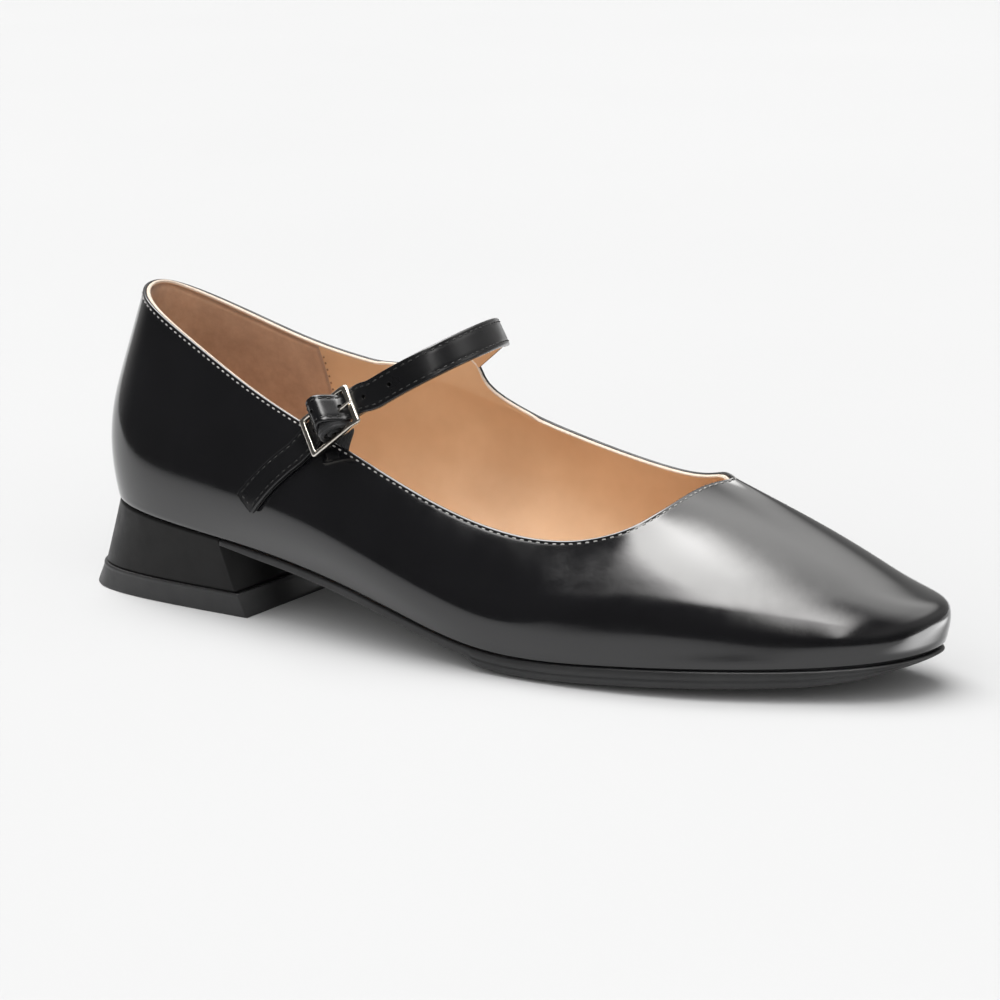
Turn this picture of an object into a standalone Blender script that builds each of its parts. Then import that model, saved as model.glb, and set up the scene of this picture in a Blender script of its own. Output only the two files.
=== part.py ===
"""Right mary jane shoe with a squared toe, an instep strap with a buckle, and a low block heel.

Units are metres, +Z is up, +X points to the toe and +Y to the medial side. The shoe stands on z = 0.
The upper is a skin through named sections of the last: each section runs from the feather line, where
the upper meets the sole, up to the topline. The sole, insole and heel take their outline from the same
feather line.
"""

import bpy
import bmesh
import numpy as np
from math import cos, radians, sin
from mathutils import Matrix, Vector

# ---------------------------------------------------------------- driving sizes (metres)
LENGTH = 0.252          # upper, heel to toe
BALL_WIDTH = 0.080      # upper, across the ball
BACK_HEIGHT = 0.083     # floor to the topline at the back
MM = 0.001
WALL = 1.7 * MM         # leather with its lining
GAP = 0.3 * MM          # air kept between two pieces
BREAST_X = 53.0 * MM    # front of the heel at the top
INSOLE_THICK = 2.2 * MM
STRAP_WIDTH = 7.5 * MM
STRAP_THICK = 1.6 * MM
LIFT_THICK = 6.7 * MM   # top lift, floor to the heel block
HEEL_FLARE_BACK = 8.6 * MM
HEEL_BOTTOM_FRONT = 60.0 * MM

# ---------------------------------------------------------------- last sections
# One row a section, round the shoe from the heel back by the lateral side, the toe and the medial side.
# facing: outward direction in plan, degrees. feather_x, top_x: share of LENGTH. feather_y, top_y: share
# of BALL_WIDTH. top_z: share of BACK_HEIGHT. swell: how far the side bows out, mm. lean_3, lean_4 and
# rise_3, rise_4: where the two upper rows of the skin stand between feather and topline, in plan and
# in height.
SECTIONS = [
    # name             facing feather_x feather_y top_x  top_y  top_z swell lean_3 lean_4 rise_3 rise_4
    ("heel_back",         180, 0.009,  0.028, 0.018,  0.046, 1.011, 5.9, 0.60, 0.84, 0.56, 0.79),
    ("heel_corner_lat",  -140, 0.035, -0.301, 0.044, -0.126, 0.981, 5.8, 0.59, 0.84, 0.59, 0.80),
    ("heel_side_lat",     -95, 0.130, -0.376, 0.142, -0.206, 0.864, 6.2, 0.58, 0.84, 0.60, 0.82),
    ("quarter_lat",       -90, 0.243, -0.389, 0.255, -0.296, 0.725, 7.3, 0.58, 0.84, 0.61, 0.84),
    ("waist_rear_lat",    -90, 0.359, -0.417, 0.378, -0.376, 0.629, 8.5, 0.58, 0.84, 0.61, 0.85),
    ("waist_lat",         -90, 0.465, -0.464, 0.493, -0.409, 0.491, 8.7, 0.58, 0.84, 0.61, 0.86),
    ("ball_rear_lat",     -88, 0.574, -0.507, 0.604, -0.367, 0.396, 6.2, 0.61, 0.84, 0.60, 0.85),
    ("ball_lat",          -80, 0.699, -0.493, 0.691, -0.307, 0.448, 4.3, 0.50, 0.81, 0.58, 0.81),
    ("fore_lat",          -65, 0.813, -0.405, 0.721, -0.198, 0.512, 2.6, 0.34, 0.63, 0.56, 0.76),
    ("toe_side_lat",      -45, 0.910, -0.246, 0.725, -0.029, 0.530, 2.6, 0.26, 0.54, 0.51, 0.70),
    ("toe_corner_lat",    -25, 0.984, -0.115, 0.728,  0.086, 0.547, 4.3, 0.24, 0.51, 0.42, 0.71),
    ("toe_tip",             0, 1.000,  0.089, 0.735,  0.152, 0.549, 6.2, 0.15, 0.52, 0.32, 0.73),
    ("toe_corner_med",     35, 0.980,  0.221, 0.745,  0.169, 0.552, 4.2, 0.16, 0.55, 0.35, 0.73),
    ("toe_side_med",       60, 0.911,  0.282, 0.735,  0.192, 0.579, 2.4, 0.20, 0.57, 0.46, 0.76),
    ("fore_med",           70, 0.810,  0.364, 0.712,  0.297, 0.543, 2.4, 0.31, 0.66, 0.53, 0.81),
    ("ball_med",           80, 0.706,  0.392, 0.664,  0.395, 0.487, 3.8, 0.51, 0.85, 0.58, 0.84),
    ("ball_rear_med",      88, 0.595,  0.339, 0.576,  0.415, 0.523, 7.5, 0.66, 0.88, 0.60, 0.85),
    ("waist_med",          90, 0.480,  0.251, 0.467,  0.429, 0.594,10.7, 0.65, 0.87, 0.61, 0.86),
    ("waist_rear_med",     90, 0.375,  0.247, 0.354,  0.374, 0.715, 9.2, 0.63, 0.87, 0.60, 0.85),
    ("quarter_med",        90, 0.242,  0.321, 0.222,  0.296, 0.772, 5.7, 0.61, 0.86, 0.59, 0.84),
    ("heel_side_med",      95, 0.124,  0.363, 0.115,  0.274, 0.879, 4.5, 0.60, 0.86, 0.56, 0.82),
    ("heel_corner_med",   140, 0.028,  0.342, 0.027,  0.205, 0.980, 4.6, 0.60, 0.85, 0.55, 0.80),
]
SECTION_COLUMNS = ("facing", "feather_x", "feather_y", "top_x", "top_y", "top_z",
                   "swell", "lean_3", "lean_4", "rise_3", "rise_4")

# Height of the feather line along the shoe: seat, waist, tread and toe spring.
# x: mm from the heel back, z: mm above the floor
BOTTOM_PROFILE = [
    # x,    z
    (0,   27.1),
    (30,  23.9),
    (60,  21.2),
    (85,  18.1),
    (110, 12.4),
    (135,  6.8),
    (160,  2.9),
    (185,  8.2),
    (210,  7.5),
    (235,  8.9),
    (256, 11.4),
]

# Medial tab that carries the strap: x: mm from the heel back, rise: mm above the plain topline
TAB = [
    # x,   rise
    (68.0,   0.0), (76.0,   1.5), (81.0,   3.2), (85.5,   5.2), (88.5,   7.2), (91.0,   9.4),
    (92.6,  11.0), (94.0,  12.4), (99.0,   8.8), (99.6,   6.4), (100.4,  4.7), (102.0,  3.2),
    (104.5,  2.0), (108.0,  1.1), (114.0,  0.3), (120.0,  0.0),
]
TAB_LEAN = (0.0, -0.20, 0.98)       # direction in which the tab rises
TAB_SECTION = 17.7                  # where the tab stands, counted in sections

# Outsole thickness along the shoe, mm: thin shank, a step up to the forepart rubber, thin toe
SOLE_THICKNESS = [
    # x,    thick
    (53,   1.5),
    (65,   2.3),
    (90,   2.6),
    (138,  2.7),
    (141,  4.5),
    (205,  4.6),
    (228,  4.1),
    (241,  3.6),
    (252,  2.4),
]
SOLE_CROWN = 1.0 * MM    # how much lower the tread stands than its edge
SOLE_CHAMFER = 1.2 * MM

# Strap, mm: middle of its outer face and the direction across it, from the tab seam over the instep
# through the buckle to the tail
STRAP = [
    # name          x      y      z     across_x across_y across_z
    ("seam",       96.9,  28.9,  66.4, -0.68, -0.20, 0.70),
    ("rise",      110.4,  23.2,  75.8, -0.67, -0.10, 0.73),
    ("instep",    119.9,   9.5,  80.3, -0.70,  0.03, 0.71),
    ("crest",     124.8,  -7.1,  81.8, -0.71,  0.14, 0.69),
    ("shoulder",  123.2, -20.4,  80.0, -0.69,  0.22, 0.69),
    ("drop",      114.2, -28.6,  74.6, -0.66,  0.28, 0.70),
    ("buckle_in",  99.8, -32.2,  65.6, -0.62,  0.32, 0.72),
    ("buckle_out", 85.0, -32.4,  53.4, -0.62,  0.32, 0.71),
    ("tail",       74.6, -35.0,  43.6, -0.70,  0.30, 0.65),
    ("tail_end",   67.6, -38.6,  35.6, -0.78,  0.33, 0.53),
]
# Buckle frame: a wire rectangle with a centre bar, lying on the quarter
BUCKLE_CENTRE = (92.1, -32.4, 59.3)     # mm
BUCKLE_ALONG = (0.776, 0.053, 0.626)    # along the strap, towards the instep
BUCKLE_ACROSS = (-0.609, 0.329, 0.723)  # across the strap, towards the back of the shoe
BUCKLE_LENGTH = 18.4 * MM
BUCKLE_WIDTH = 11.8 * MM
BUCKLE_BAND = 1.6 * MM                   # width of the frame's flat bars
BUCKLE_DEEP = 1.5 * MM                   # their thickness
CENTRE_BAR = 0.6 * MM                    # radius
PRONG = 0.5 * MM                         # radius of the prong's wire
ARCH = 3.15 * MM                         # how far the strap's outer face arches over the centre bar


# ---------------------------------------------------------------- mathematics of the last
def periodic_spline(rows, u):
    """Closed uniform cubic B-spline through the section rows, read at u counted in sections."""
    n = len(rows)
    i = np.floor(u).astype(int)
    t = (u - i)[:, None]
    flat = rows.reshape(n, -1)
    p = [flat[(i + k - 1) % n] for k in range(4)]
    out = (p[0] * (1 - t) ** 3 + p[1] * (3 * t**3 - 6 * t**2 + 4)
           + p[2] * (-3 * t**3 + 3 * t**2 + 3 * t + 1) + p[3] * t**3) / 6
    return out.reshape((len(u),) + rows.shape[1:])


def clamped_basis(count, v, degree=3):
    """Weights of a clamped uniform B-spline with this many control rows, at v from 0 to 1."""
    knots = np.concatenate([np.zeros(degree), np.linspace(0, 1, count - degree + 1), np.ones(degree)])
    v = np.clip(v, 0, 1 - 1e-9)
    basis = [((knots[i] <= v) & (v < knots[i + 1])).astype(float) for i in range(len(knots) - 1)]
    for d in range(1, degree + 1):
        raised = []
        for i in range(len(knots) - 1 - d):
            left = knots[i + d] - knots[i]
            right = knots[i + d + 1] - knots[i + 1]
            term = np.zeros_like(v)
            if left > 0:
                term += (v - knots[i]) / left * basis[i]
            if right > 0:
                term += (knots[i + d + 1] - v) / right * basis[i + 1]
            raised.append(term)
        basis = raised
    return np.stack(basis, 1)


def natural_cubic(table, x):
    """Natural cubic spline through a two-column table."""
    knots, values = np.array(table, float).T
    n = len(knots)
    h = np.diff(knots)
    a = np.zeros((n, n))
    b = np.zeros(n)
    a[0, 0] = a[-1, -1] = 1
    for i in range(1, n - 1):
        a[i, i - 1], a[i, i], a[i, i + 1] = h[i - 1], 2 * (h[i - 1] + h[i]), h[i]
        b[i] = 6 * ((values[i + 1] - values[i]) / h[i] - (values[i] - values[i - 1]) / h[i - 1])
    m = np.linalg.solve(a, b)
    x = np.clip(x, knots[0] - 5, knots[-1] + 5)
    i = np.clip(np.searchsorted(knots, x) - 1, 0, n - 2)
    s, e = knots[i + 1] - x, x - knots[i]
    return ((m[i] * s**3 + m[i + 1] * e**3) / (6 * h[i])
            + (values[i] / h[i] - m[i] * h[i] / 6) * s + (values[i + 1] / h[i] - m[i + 1] * h[i] / 6) * e)


def control_net():
    """Control rows of the skin, section by section: feather, wall, belly, shoulder, edge, topline."""
    t = {name: np.array([row[k + 1] for row in SECTIONS], float) for k, name in enumerate(SECTION_COLUMNS)}
    facing = np.radians(t["facing"])
    out = np.stack([np.cos(facing), np.sin(facing)], 1)
    feather = np.stack([t["feather_x"] * LENGTH, t["feather_y"] * BALL_WIDTH], 1)
    top = np.stack([t["top_x"] * LENGTH, t["top_y"] * BALL_WIDTH], 1)
    feather_z = natural_cubic(BOTTOM_PROFILE, feather[:, 0] / MM) * MM
    top_z = t["top_z"] * BACK_HEIGHT
    belly = np.clip((t["lean_3"] - 0.10) * 2, 0, 1) * 0.33
    one = np.ones(len(SECTIONS))
    lean = np.stack([0 * one, 0.4 * belly, belly, t["lean_3"], t["lean_4"], one], 1)
    rise = np.stack([0 * one, 0.14 * one, 0.36 * one, t["rise_3"], t["rise_4"], one], 1)
    swell = np.array([0, 0.55, 1.0, 0.85, 0.45, 0])
    net = np.zeros((len(SECTIONS), 6, 3))
    for k in range(6):
        net[:, k, :2] = feather + (top - feather) * lean[:, k:k + 1] + out * (t["swell"] * MM * swell[k])[:, None]
        net[:, k, 2] = feather_z + (top_z - feather_z) * rise[:, k]
    return net


NET = control_net()


def skin(u, v):
    """Points of the upper's outer face: u counted in sections, v from 0 at the feather to 1 at the topline."""
    u, v = np.broadcast_arrays(np.asarray(u, float), np.asarray(v, float))
    columns = periodic_spline(NET, u.ravel())
    weights = clamped_basis(6, v.ravel())
    return np.einsum("nk,nkd->nd", weights, columns).reshape(u.shape + (3,))


def tab_rise(u):
    """Height of the medial tab above the plain topline at section position u."""
    u = np.asarray(u, float)
    x = skin(u, np.ones_like(u))[..., 0] / MM
    knots, rise = np.array(TAB).T
    near = np.abs(u - TAB_SECTION) < 2.5
    return np.where(near, np.interp(x, knots, rise), 0.0) * MM


def upper_point(u, r):
    """The outer face with its tab: r runs from 0 at the feather to 1 at the cut edge."""
    rise = tab_rise(u)
    wall = np.linalg.norm(skin(u, np.ones_like(u)) - skin(u, np.zeros_like(u)), axis=-1)
    reach = r * (1 + rise / wall)
    over = np.clip(reach - 1, 0, None) * wall
    return skin(u, np.clip(reach, 0, 1)) + over[..., None] * np.array(TAB_LEAN)


def spaced(start, end, count, crowded=()):
    """Positions from start to end, closer together round each (place, spread, gain) given."""
    fine = np.linspace(start, end, 4001)
    density = np.ones_like(fine)
    for place, spread, gain in crowded:
        density += gain * np.exp(-((fine - place) / spread) ** 2)
    total = np.concatenate([[0], np.cumsum((density[1:] + density[:-1]) / 2)])
    return np.interp(np.linspace(0, total[-1], count), total, fine)


def feather_at(x, side):
    """Section position where the feather line crosses this x on one side."""
    low, high = (0.5, 10.5) if side == "lateral" else (11.8, 21.5)
    u = np.linspace(low, high, 2001)
    xs = skin(u, np.zeros_like(u))[:, 0]
    return float(np.interp(x, xs, u)) if side == "lateral" else float(np.interp(-x, -xs, u))


def plan_normals(ring, closed=True):
    """Outward unit normals of a plan outline that runs clockwise or anticlockwise round its middle."""
    if closed:
        along = np.roll(ring, -1, 0) - np.roll(ring, 1, 0)
    else:
        along = np.gradient(ring, axis=0)
    normal = np.stack([along[:, 1], -along[:, 0]], 1)
    normal /= np.linalg.norm(normal, axis=1)[:, None]
    area = np.sum(ring[:, 0] * np.roll(ring[:, 1], -1) - np.roll(ring[:, 0], -1) * ring[:, 1])
    return normal if area > 0 else -normal


# ---------------------------------------------------------------- Blender helpers
def clear_scene():
    for item in list(bpy.data.objects):
        bpy.data.objects.remove(item, do_unlink=True)


def material(name, colour, rough, metal=0.0):
    made = bpy.data.materials.new(name)
    made.use_nodes = True
    shader = made.node_tree.nodes["Principled BSDF"]
    shader.inputs["Base Color"].default_value = (*colour, 1)
    shader.inputs["Roughness"].default_value = rough
    shader.inputs["Metallic"].default_value = metal
    made.diffuse_color = (*colour, 1)
    return made


def object_from(bm, name, mat):
    """Finishes a mesh: one closed body, faces outward."""
    bmesh.ops.remove_doubles(bm, verts=bm.verts, dist=1e-6)
    bmesh.ops.triangulate(bm, faces=bm.faces)
    bmesh.ops.recalc_face_normals(bm, faces=bm.faces)
    if bm.calc_volume(signed=True) < 0:
        bmesh.ops.reverse_faces(bm, faces=bm.faces)
    mesh = bpy.data.meshes.new(name)
    bm.to_mesh(mesh)
    bm.free()
    made = bpy.data.objects.new(name, mesh)
    bpy.context.scene.collection.objects.link(made)
    made.data.materials.append(mat)
    return made


def bridge(bm, rings, closed=True):
    """Quads between rings of vertices, one after the other."""
    for low, high in zip(rings, rings[1:]):
        n = len(low)
        for i in range(n if closed else n - 1):
            j = (i + 1) % n
            if len({low[i], low[j], high[j], high[i]}) >= 3:
                bm.faces.new([low[i], low[j], high[j], high[i]])


def rib_cap(bm, ring, steps, lower=None):
    """Closes a ring with ribs from one side to the other. Rows pair the ring's ends: first with last."""
    half = len(ring) // 2
    rows = []
    for i in range(half):
        a, b = ring[i], ring[len(ring) - 1 - i]
        row = [a]
        for k in range(1, steps):
            f = k / steps
            co = a.co.lerp(b.co, f)
            if lower:
                co.z = lower(co.x, co.z, f)
            row.append(bm.verts.new(co))
        rows.append(row + [b])
    for first, second in zip(rows, rows[1:]):
        for k in range(steps):
            bm.faces.new([first[k], first[k + 1], second[k + 1], second[k]])
    return rows[0], rows[-1]


def ring_of(bm, points):
    return [bm.verts.new(tuple(map(float, p))) for p in points]


def bowl(name, mat, layers, steps, lower=None, upper=None):
    """A flat-ish solid from outline layers, top first, whose outlines pair first with last point."""
    bm = bmesh.new()
    rings = [ring_of(bm, layer) for layer in layers]
    bridge(bm, rings)
    for ring, shape in ((rings[0], upper), (rings[-1], lower)):
        first, last = rib_cap(bm, ring, steps, shape)
        for row in (first, last):
            # the ribs' interior points on the end rows join the ring's own end edge
            if len(row) > 2:
                bm.faces.new(row)
    return object_from(bm, name, mat)


# ---------------------------------------------------------------- pieces
def upper(mat):
    u = spaced(0, len(SECTIONS), 109, [(TAB_SECTION + 0.02, 0.28, 3.4), (8.0, 0.8, 0.5), (11, 1.6, 0.6), (0, 1.2, 0.4), (22, 1.2, 0.4)])[:-1]
    r = np.array([0, 0.06, 0.14, 0.24, 0.35, 0.47, 0.59, 0.70, 0.81, 0.91, 1.0])
    uu, rr = np.meshgrid(u, r, indexing="ij")
    outer = upper_point(uu, rr)
    du = upper_point(uu + 0.02, rr) - upper_point(uu - 0.02, rr)
    dr = upper_point(uu, np.clip(rr + 0.01, 0, 1)) - upper_point(uu, np.clip(rr - 0.01, 0, 1))
    normal = np.cross(du, dr)
    normal /= np.linalg.norm(normal, axis=-1)[..., None]
    middle = outer.reshape(-1, 3).mean(0)
    if np.sum(normal * (outer - middle)) < 0:
        normal = -normal
    inner = outer - normal * WALL
    feather = outer[:, 0]
    inner[:, 0, :2] = feather[:, :2] - plan_normals(feather[:, :2]) * WALL
    inner[:, 0, 2] = feather[:, 2]
    bm = bmesh.new()
    out_rows = [ring_of(bm, outer[:, k]) for k in range(len(r))]
    in_rows = [ring_of(bm, inner[:, k]) for k in range(len(r))]
    bridge(bm, out_rows)
    bridge(bm, in_rows)
    bridge(bm, [out_rows[-1], in_rows[-1]])
    bridge(bm, [out_rows[0], in_rows[0]])
    return object_from(bm, "upper", mat)


def outline(u_start, u_end, count, crowded=()):
    """Feather line from one section position to another, as plan points with their height."""
    u = spaced(u_start, u_end, count, crowded)
    return skin(u, np.zeros_like(u))


def inset(points, by, drop, closed=True):
    moved = points.copy()
    moved[:, :2] -= plan_normals(points[:, :2], closed) * by
    moved[:, 2] -= drop
    return moved


def insole(mat):
    """Covered insole board that fills the foot bed inside the upper's wall."""
    half = 34
    lateral = np.linspace(0, 11, half + 1)
    u = np.concatenate([lateral, (22 - lateral[::-1])[1:-1]])
    feather = skin(u, np.zeros_like(u))
    bottom = inset(feather, WALL + GAP + 0.2 * MM, -GAP)
    top = bottom + np.array([0, 0, INSOLE_THICK])
    bm = bmesh.new()
    rings = [ring_of(bm, top), ring_of(bm, bottom)]
    bridge(bm, rings)
    for ring, dish in ((rings[0], 0.6 * MM), (rings[1], 0.0)):
        rows = [[ring[0]]]
        for i in range(1, half):
            a, b = ring[i], ring[len(ring) - i]
            row = [a]
            for k in (1, 2, 3):
                co = a.co.lerp(b.co, k / 4)
                co.z -= dish * (1 - abs(k - 2) * 0.35)
                row.append(bm.verts.new(co))
            rows.append(row + [b])
        rows.append([ring[half]])
        for first, second in zip(rows, rows[1:]):
            if len(first) == 1:
                for k in range(4):
                    bm.faces.new([first[0], second[k], second[k + 1]])
            elif len(second) == 1:
                for k in range(4):
                    bm.faces.new([first[k], first[k + 1], second[0]])
            else:
                for k in range(4):
                    bm.faces.new([first[k], first[k + 1], second[k + 1], second[k]])
    return object_from(bm, "insole", mat)


def outsole(mat):
    """Shank and forepart from the heel breast to the toe, with a flat tread at the ball."""
    x0 = BREAST_X + 1.2 * MM
    step = feather_at(139.5 * MM, "lateral"), feather_at(139.5 * MM, "medial")
    ring = outline(feather_at(x0, "lateral"), feather_at(x0, "medial"), 92,
                   [(step[0], 0.12, 3), (step[1], 0.12, 3), (11, 1.2, 0.8)])
    knots, thick = np.array(SOLE_THICKNESS, float).T
    thickness = np.interp(ring[:, 0] / MM, knots, thick) * MM
    top = inset(ring, 0.15 * MM, GAP, closed=False)
    side = inset(ring, 0.35 * MM, GAP, closed=False)
    side[:, 2] -= thickness * 0.72
    tread = inset(ring, 0.35 * MM + SOLE_CHAMFER, GAP, closed=False)
    tread[:, 2] = np.maximum(tread[:, 2] - thickness, 0)

    def crown(x, z, f):
        return max(0.0, z - SOLE_CROWN * min(1.0, 3 * min(f, 1 - f)) * min(1, max(0, (x - 60 * MM) / (60 * MM))))

    return bowl("outsole", mat, [top, side, tread], 6, lower=crown)


def heel_outline(level):
    """Plan of the heel: level 0 where it meets the upper, 1 on the floor."""
    u = spaced(feather_at(BREAST_X, "medial") - 22, feather_at(BREAST_X, "lateral"), 48)
    ring = skin(u % 22, np.zeros_like(u))
    back, front = ring[:, 0].min(), ring[[0, -1], 0].mean()
    wide = np.abs(ring[:, 1]).max()
    share = (ring[:, 0] - back) / (front - back)
    x_floor = (back - HEEL_FLARE_BACK) + share * (HEEL_BOTTOM_FRONT - back + HEEL_FLARE_BACK)
    y_floor = np.sign(ring[:, 1]) * 28.0 * MM * (np.abs(ring[:, 1]) / wide) ** 0.62
    shaped = ring.copy()
    shaped[:, 0] += (x_floor - ring[:, 0]) * level
    shaped[:, 1] += (y_floor - ring[:, 1]) * level
    return shaped


def heel_layer(height, proud=0.0):
    """Heel outline at this height above the floor, or at the seat when height is None."""
    if height is None:
        layer = inset(heel_outline(0.0), 0.3 * MM, GAP, closed=False)
        return layer
    seat = 22.5 * MM
    layer = heel_outline(1 - height / seat)
    layer = inset(layer, -proud, 0, closed=False)
    layer[:, 2] = height
    return layer


def heel_block(mat):
    seat = heel_layer(None)
    foot = heel_layer(LIFT_THICK + GAP)
    middle = []
    for share in (0.34, 0.67):
        layer = seat * (1 - share) + foot * share
        layer[:, 0] += 0.5 * MM * sin(share * 3.1416) * np.where(layer[:, 0] < 20 * MM, 1, -1)
        middle.append(layer)
    return bowl("heel_block", mat, [seat, *middle, foot], 4)


def top_lift(mat):
    """Top lift with the raised bead round its upper edge."""
    top = LIFT_THICK
    layers = [heel_layer(top, 0.1 * MM), heel_layer(top - 0.35 * MM, 0.55 * MM), heel_layer(top - 0.9 * MM, 0.55 * MM),
              heel_layer(top - 1.2 * MM, 0.2 * MM), heel_layer(0.5 * MM, 0.25 * MM), heel_layer(0.0, -0.2 * MM)]
    return bowl("top_lift", mat, layers, 4)


def strap_path(count):
    """Middle of the strap's outer face, its direction, its width direction and its outward normal."""
    table = np.array([row[1:] for row in STRAP], float)
    weights = clamped_basis(len(STRAP), np.linspace(0, 1, count))
    middle = weights @ table[:, :3] * MM
    across = weights @ table[:, 3:]
    along = np.gradient(middle, axis=0)
    along /= np.linalg.norm(along, axis=1)[:, None]
    across -= np.sum(across * along, axis=1)[:, None] * along
    across /= np.linalg.norm(across, axis=1)[:, None]
    normal = np.cross(across, along)
    if normal[count // 2, 2] < 0:
        normal = -normal
    return middle, along, across, normal


def buckle_axes():
    a = np.array(BUCKLE_ALONG)
    a /= np.linalg.norm(a)
    b = np.array(BUCKLE_ACROSS) - np.dot(BUCKLE_ACROSS, a) * a
    b /= np.linalg.norm(b)
    n = np.cross(a, b)
    return np.array(BUCKLE_CENTRE) * MM, a, b, (n if n[1] < 0 else -n)


def on_quarter(points, clearance):
    """Moves points to this clearance outside the lateral quarter. Gives the points and the skin's normals there."""
    uu, vv = np.meshgrid(np.linspace(0.5, 6.5, 121), np.linspace(0.02, 1, 61), indexing="ij")
    grid = skin(uu, vv)
    normal = np.cross(np.gradient(grid, axis=0), np.gradient(grid, axis=1)).reshape(-1, 3)
    grid = grid.reshape(-1, 3)
    normal /= np.linalg.norm(normal, axis=1)[:, None]
    normal *= np.where(normal[:, 1] > 0, -1, 1)[:, None]
    moved, facing = points.copy(), points.copy()
    for i, point in enumerate(points):
        away = np.linalg.norm(grid - point, axis=1)
        close = np.argsort(away)[:12]
        weight = 1 / (away[close] + MM) ** 2
        n = (normal[close] * weight[:, None]).sum(0)
        n /= np.linalg.norm(n)
        height = ((point - grid[close]) @ n * weight).sum() / weight.sum()
        moved[i] = point + n * (clearance - height)
        facing[i] = n
    return moved, facing


def strap(mat):
    """One leather strip from the tab seam, over the instep, woven through the buckle, to its tail."""
    middle, along, across, normal = strap_path(97)
    centre, a, b, n = buckle_axes()
    place = (middle - centre) @ a
    # the strip dips under the frame's end bars and arches over the centre bar
    arch = np.exp(-(np.abs(place) / (4.4 * MM)) ** 3)
    low = BUCKLE_DEEP / 2 + GAP
    near = np.exp(-(place / (13 * MM)) ** 8) * (middle[:, 1] < 0)
    level = (middle - centre) @ n
    target = -low + arch * (ARCH + low)
    off = (middle - centre) @ b
    middle = middle + n * ((target - level) * near)[:, None] - b * (off * near)[:, None]
    across = across * (1 - near)[:, None] + np.sign(across @ b)[:, None] * b * near[:, None]
    laid, quarter = on_quarter(middle, STRAP_THICK + 0.45 * MM)
    rest = np.clip((-place - 9.5 * MM) / (5 * MM), 0, 1)
    rest = (rest * rest * (3 - 2 * rest))[:, None]
    middle = middle * (1 - rest) + laid * rest
    across = across - np.sum(across * quarter, axis=1)[:, None] * quarter * rest
    along = np.gradient(middle, axis=0)
    along /= np.linalg.norm(along, axis=1)[:, None]
    across -= np.sum(across * along, axis=1)[:, None] * along
    across /= np.linalg.norm(across, axis=1)[:, None]
    turned = np.cross(across, along)
    normal = turned * np.sign(np.sum(turned * normal, axis=1))[:, None]
    first = along[0] * 3 * GAP
    bm = bmesh.new()
    rings = []
    for i in range(len(middle)):
        side = across[i] * STRAP_WIDTH / 2
        out = middle[i] + (first if i == 0 else 0)
        inside = out - normal[i] * STRAP_THICK
        rings.append(ring_of(bm, [out + side, out - side, inside - side, inside + side]))
    bridge(bm, rings)
    bm.faces.new(rings[0])
    bm.faces.new(rings[-1])
    return object_from(bm, "strap", mat)


def wire(name, mat, points, radius, sides=2):
    """Round wire along a path, as a bevelled curve turned to a mesh."""
    data = bpy.data.curves.new(name, "CURVE")
    data.dimensions = "3D"
    line = data.splines.new("POLY")
    line.points.add(len(points) - 1)
    for point, co in zip(line.points, points):
        point.co = (*map(float, co), 1)
    data.bevel_depth = radius
    data.bevel_resolution = sides
    data.use_fill_caps = True
    made = bpy.data.objects.new(name, data)
    bpy.context.scene.collection.objects.link(made)
    graph = bpy.context.evaluated_depsgraph_get()
    mesh = bpy.data.meshes.new_from_object(made.evaluated_get(graph))
    bpy.data.objects.remove(made, do_unlink=True)
    bm = bmesh.new()
    bm.from_mesh(mesh)
    bpy.data.meshes.remove(mesh)
    return object_from(bm, name, mat)


def joined(base, other, operation):
    """The Boolean of two closed meshes, applied to the first. The second is removed."""
    tool = base.modifiers.new(operation.lower(), "BOOLEAN")
    tool.operation = operation
    tool.solver = "EXACT"
    tool.object = other
    graph = bpy.context.evaluated_depsgraph_get()
    mesh = bpy.data.meshes.new_from_object(base.evaluated_get(graph))
    base.modifiers.remove(tool)
    base.data = mesh
    bpy.data.objects.remove(other, do_unlink=True)
    return base


def rounded_rectangle(half_a, half_b, radius, steps=4):
    """Plan points of a rounded rectangle with the outward direction at each."""
    points = []
    for sa, sb, start in ((1, 1, 0), (-1, 1, 90), (-1, -1, 180), (1, -1, 270)):
        for k in range(steps + 1):
            angle = radians(start + 90 * k / steps)
            points.append((sa * (half_a - radius) + radius * cos(angle), sb * (half_b - radius) + radius * sin(angle),
                           cos(angle), sin(angle)))
    return points


def buckle_frame(mat):
    """Flat-barred rectangular frame, joined with its round centre bar."""
    centre, a, b, n = buckle_axes()
    half_a, half_b = (BUCKLE_LENGTH - BUCKLE_BAND) / 2, (BUCKLE_WIDTH - BUCKLE_BAND) / 2
    w, d, c = BUCKLE_BAND / 2, BUCKLE_DEEP / 2, 0.35 * MM
    section = [(w, -d + c), (w, d - c), (w - c, d), (-w + c, d), (-w, d - c), (-w, -d + c), (-w + c, -d), (w - c, -d)]
    bm = bmesh.new()
    rings = []
    for pa, pb, oa, ob in rounded_rectangle(half_a, half_b, 1.0 * MM, 3):
        rings.append(ring_of(bm, [centre + a * (pa + oa * s) + b * (pb + ob * s) + n * t for s, t in section]))
    bridge(bm, rings + [rings[0]])
    frame = object_from(bm, "buckle_frame", mat)
    bar = wire("centre_bar", mat, [centre - b * half_b, centre + b * half_b], CENTRE_BAR)
    return joined(frame, bar, "UNION")


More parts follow.
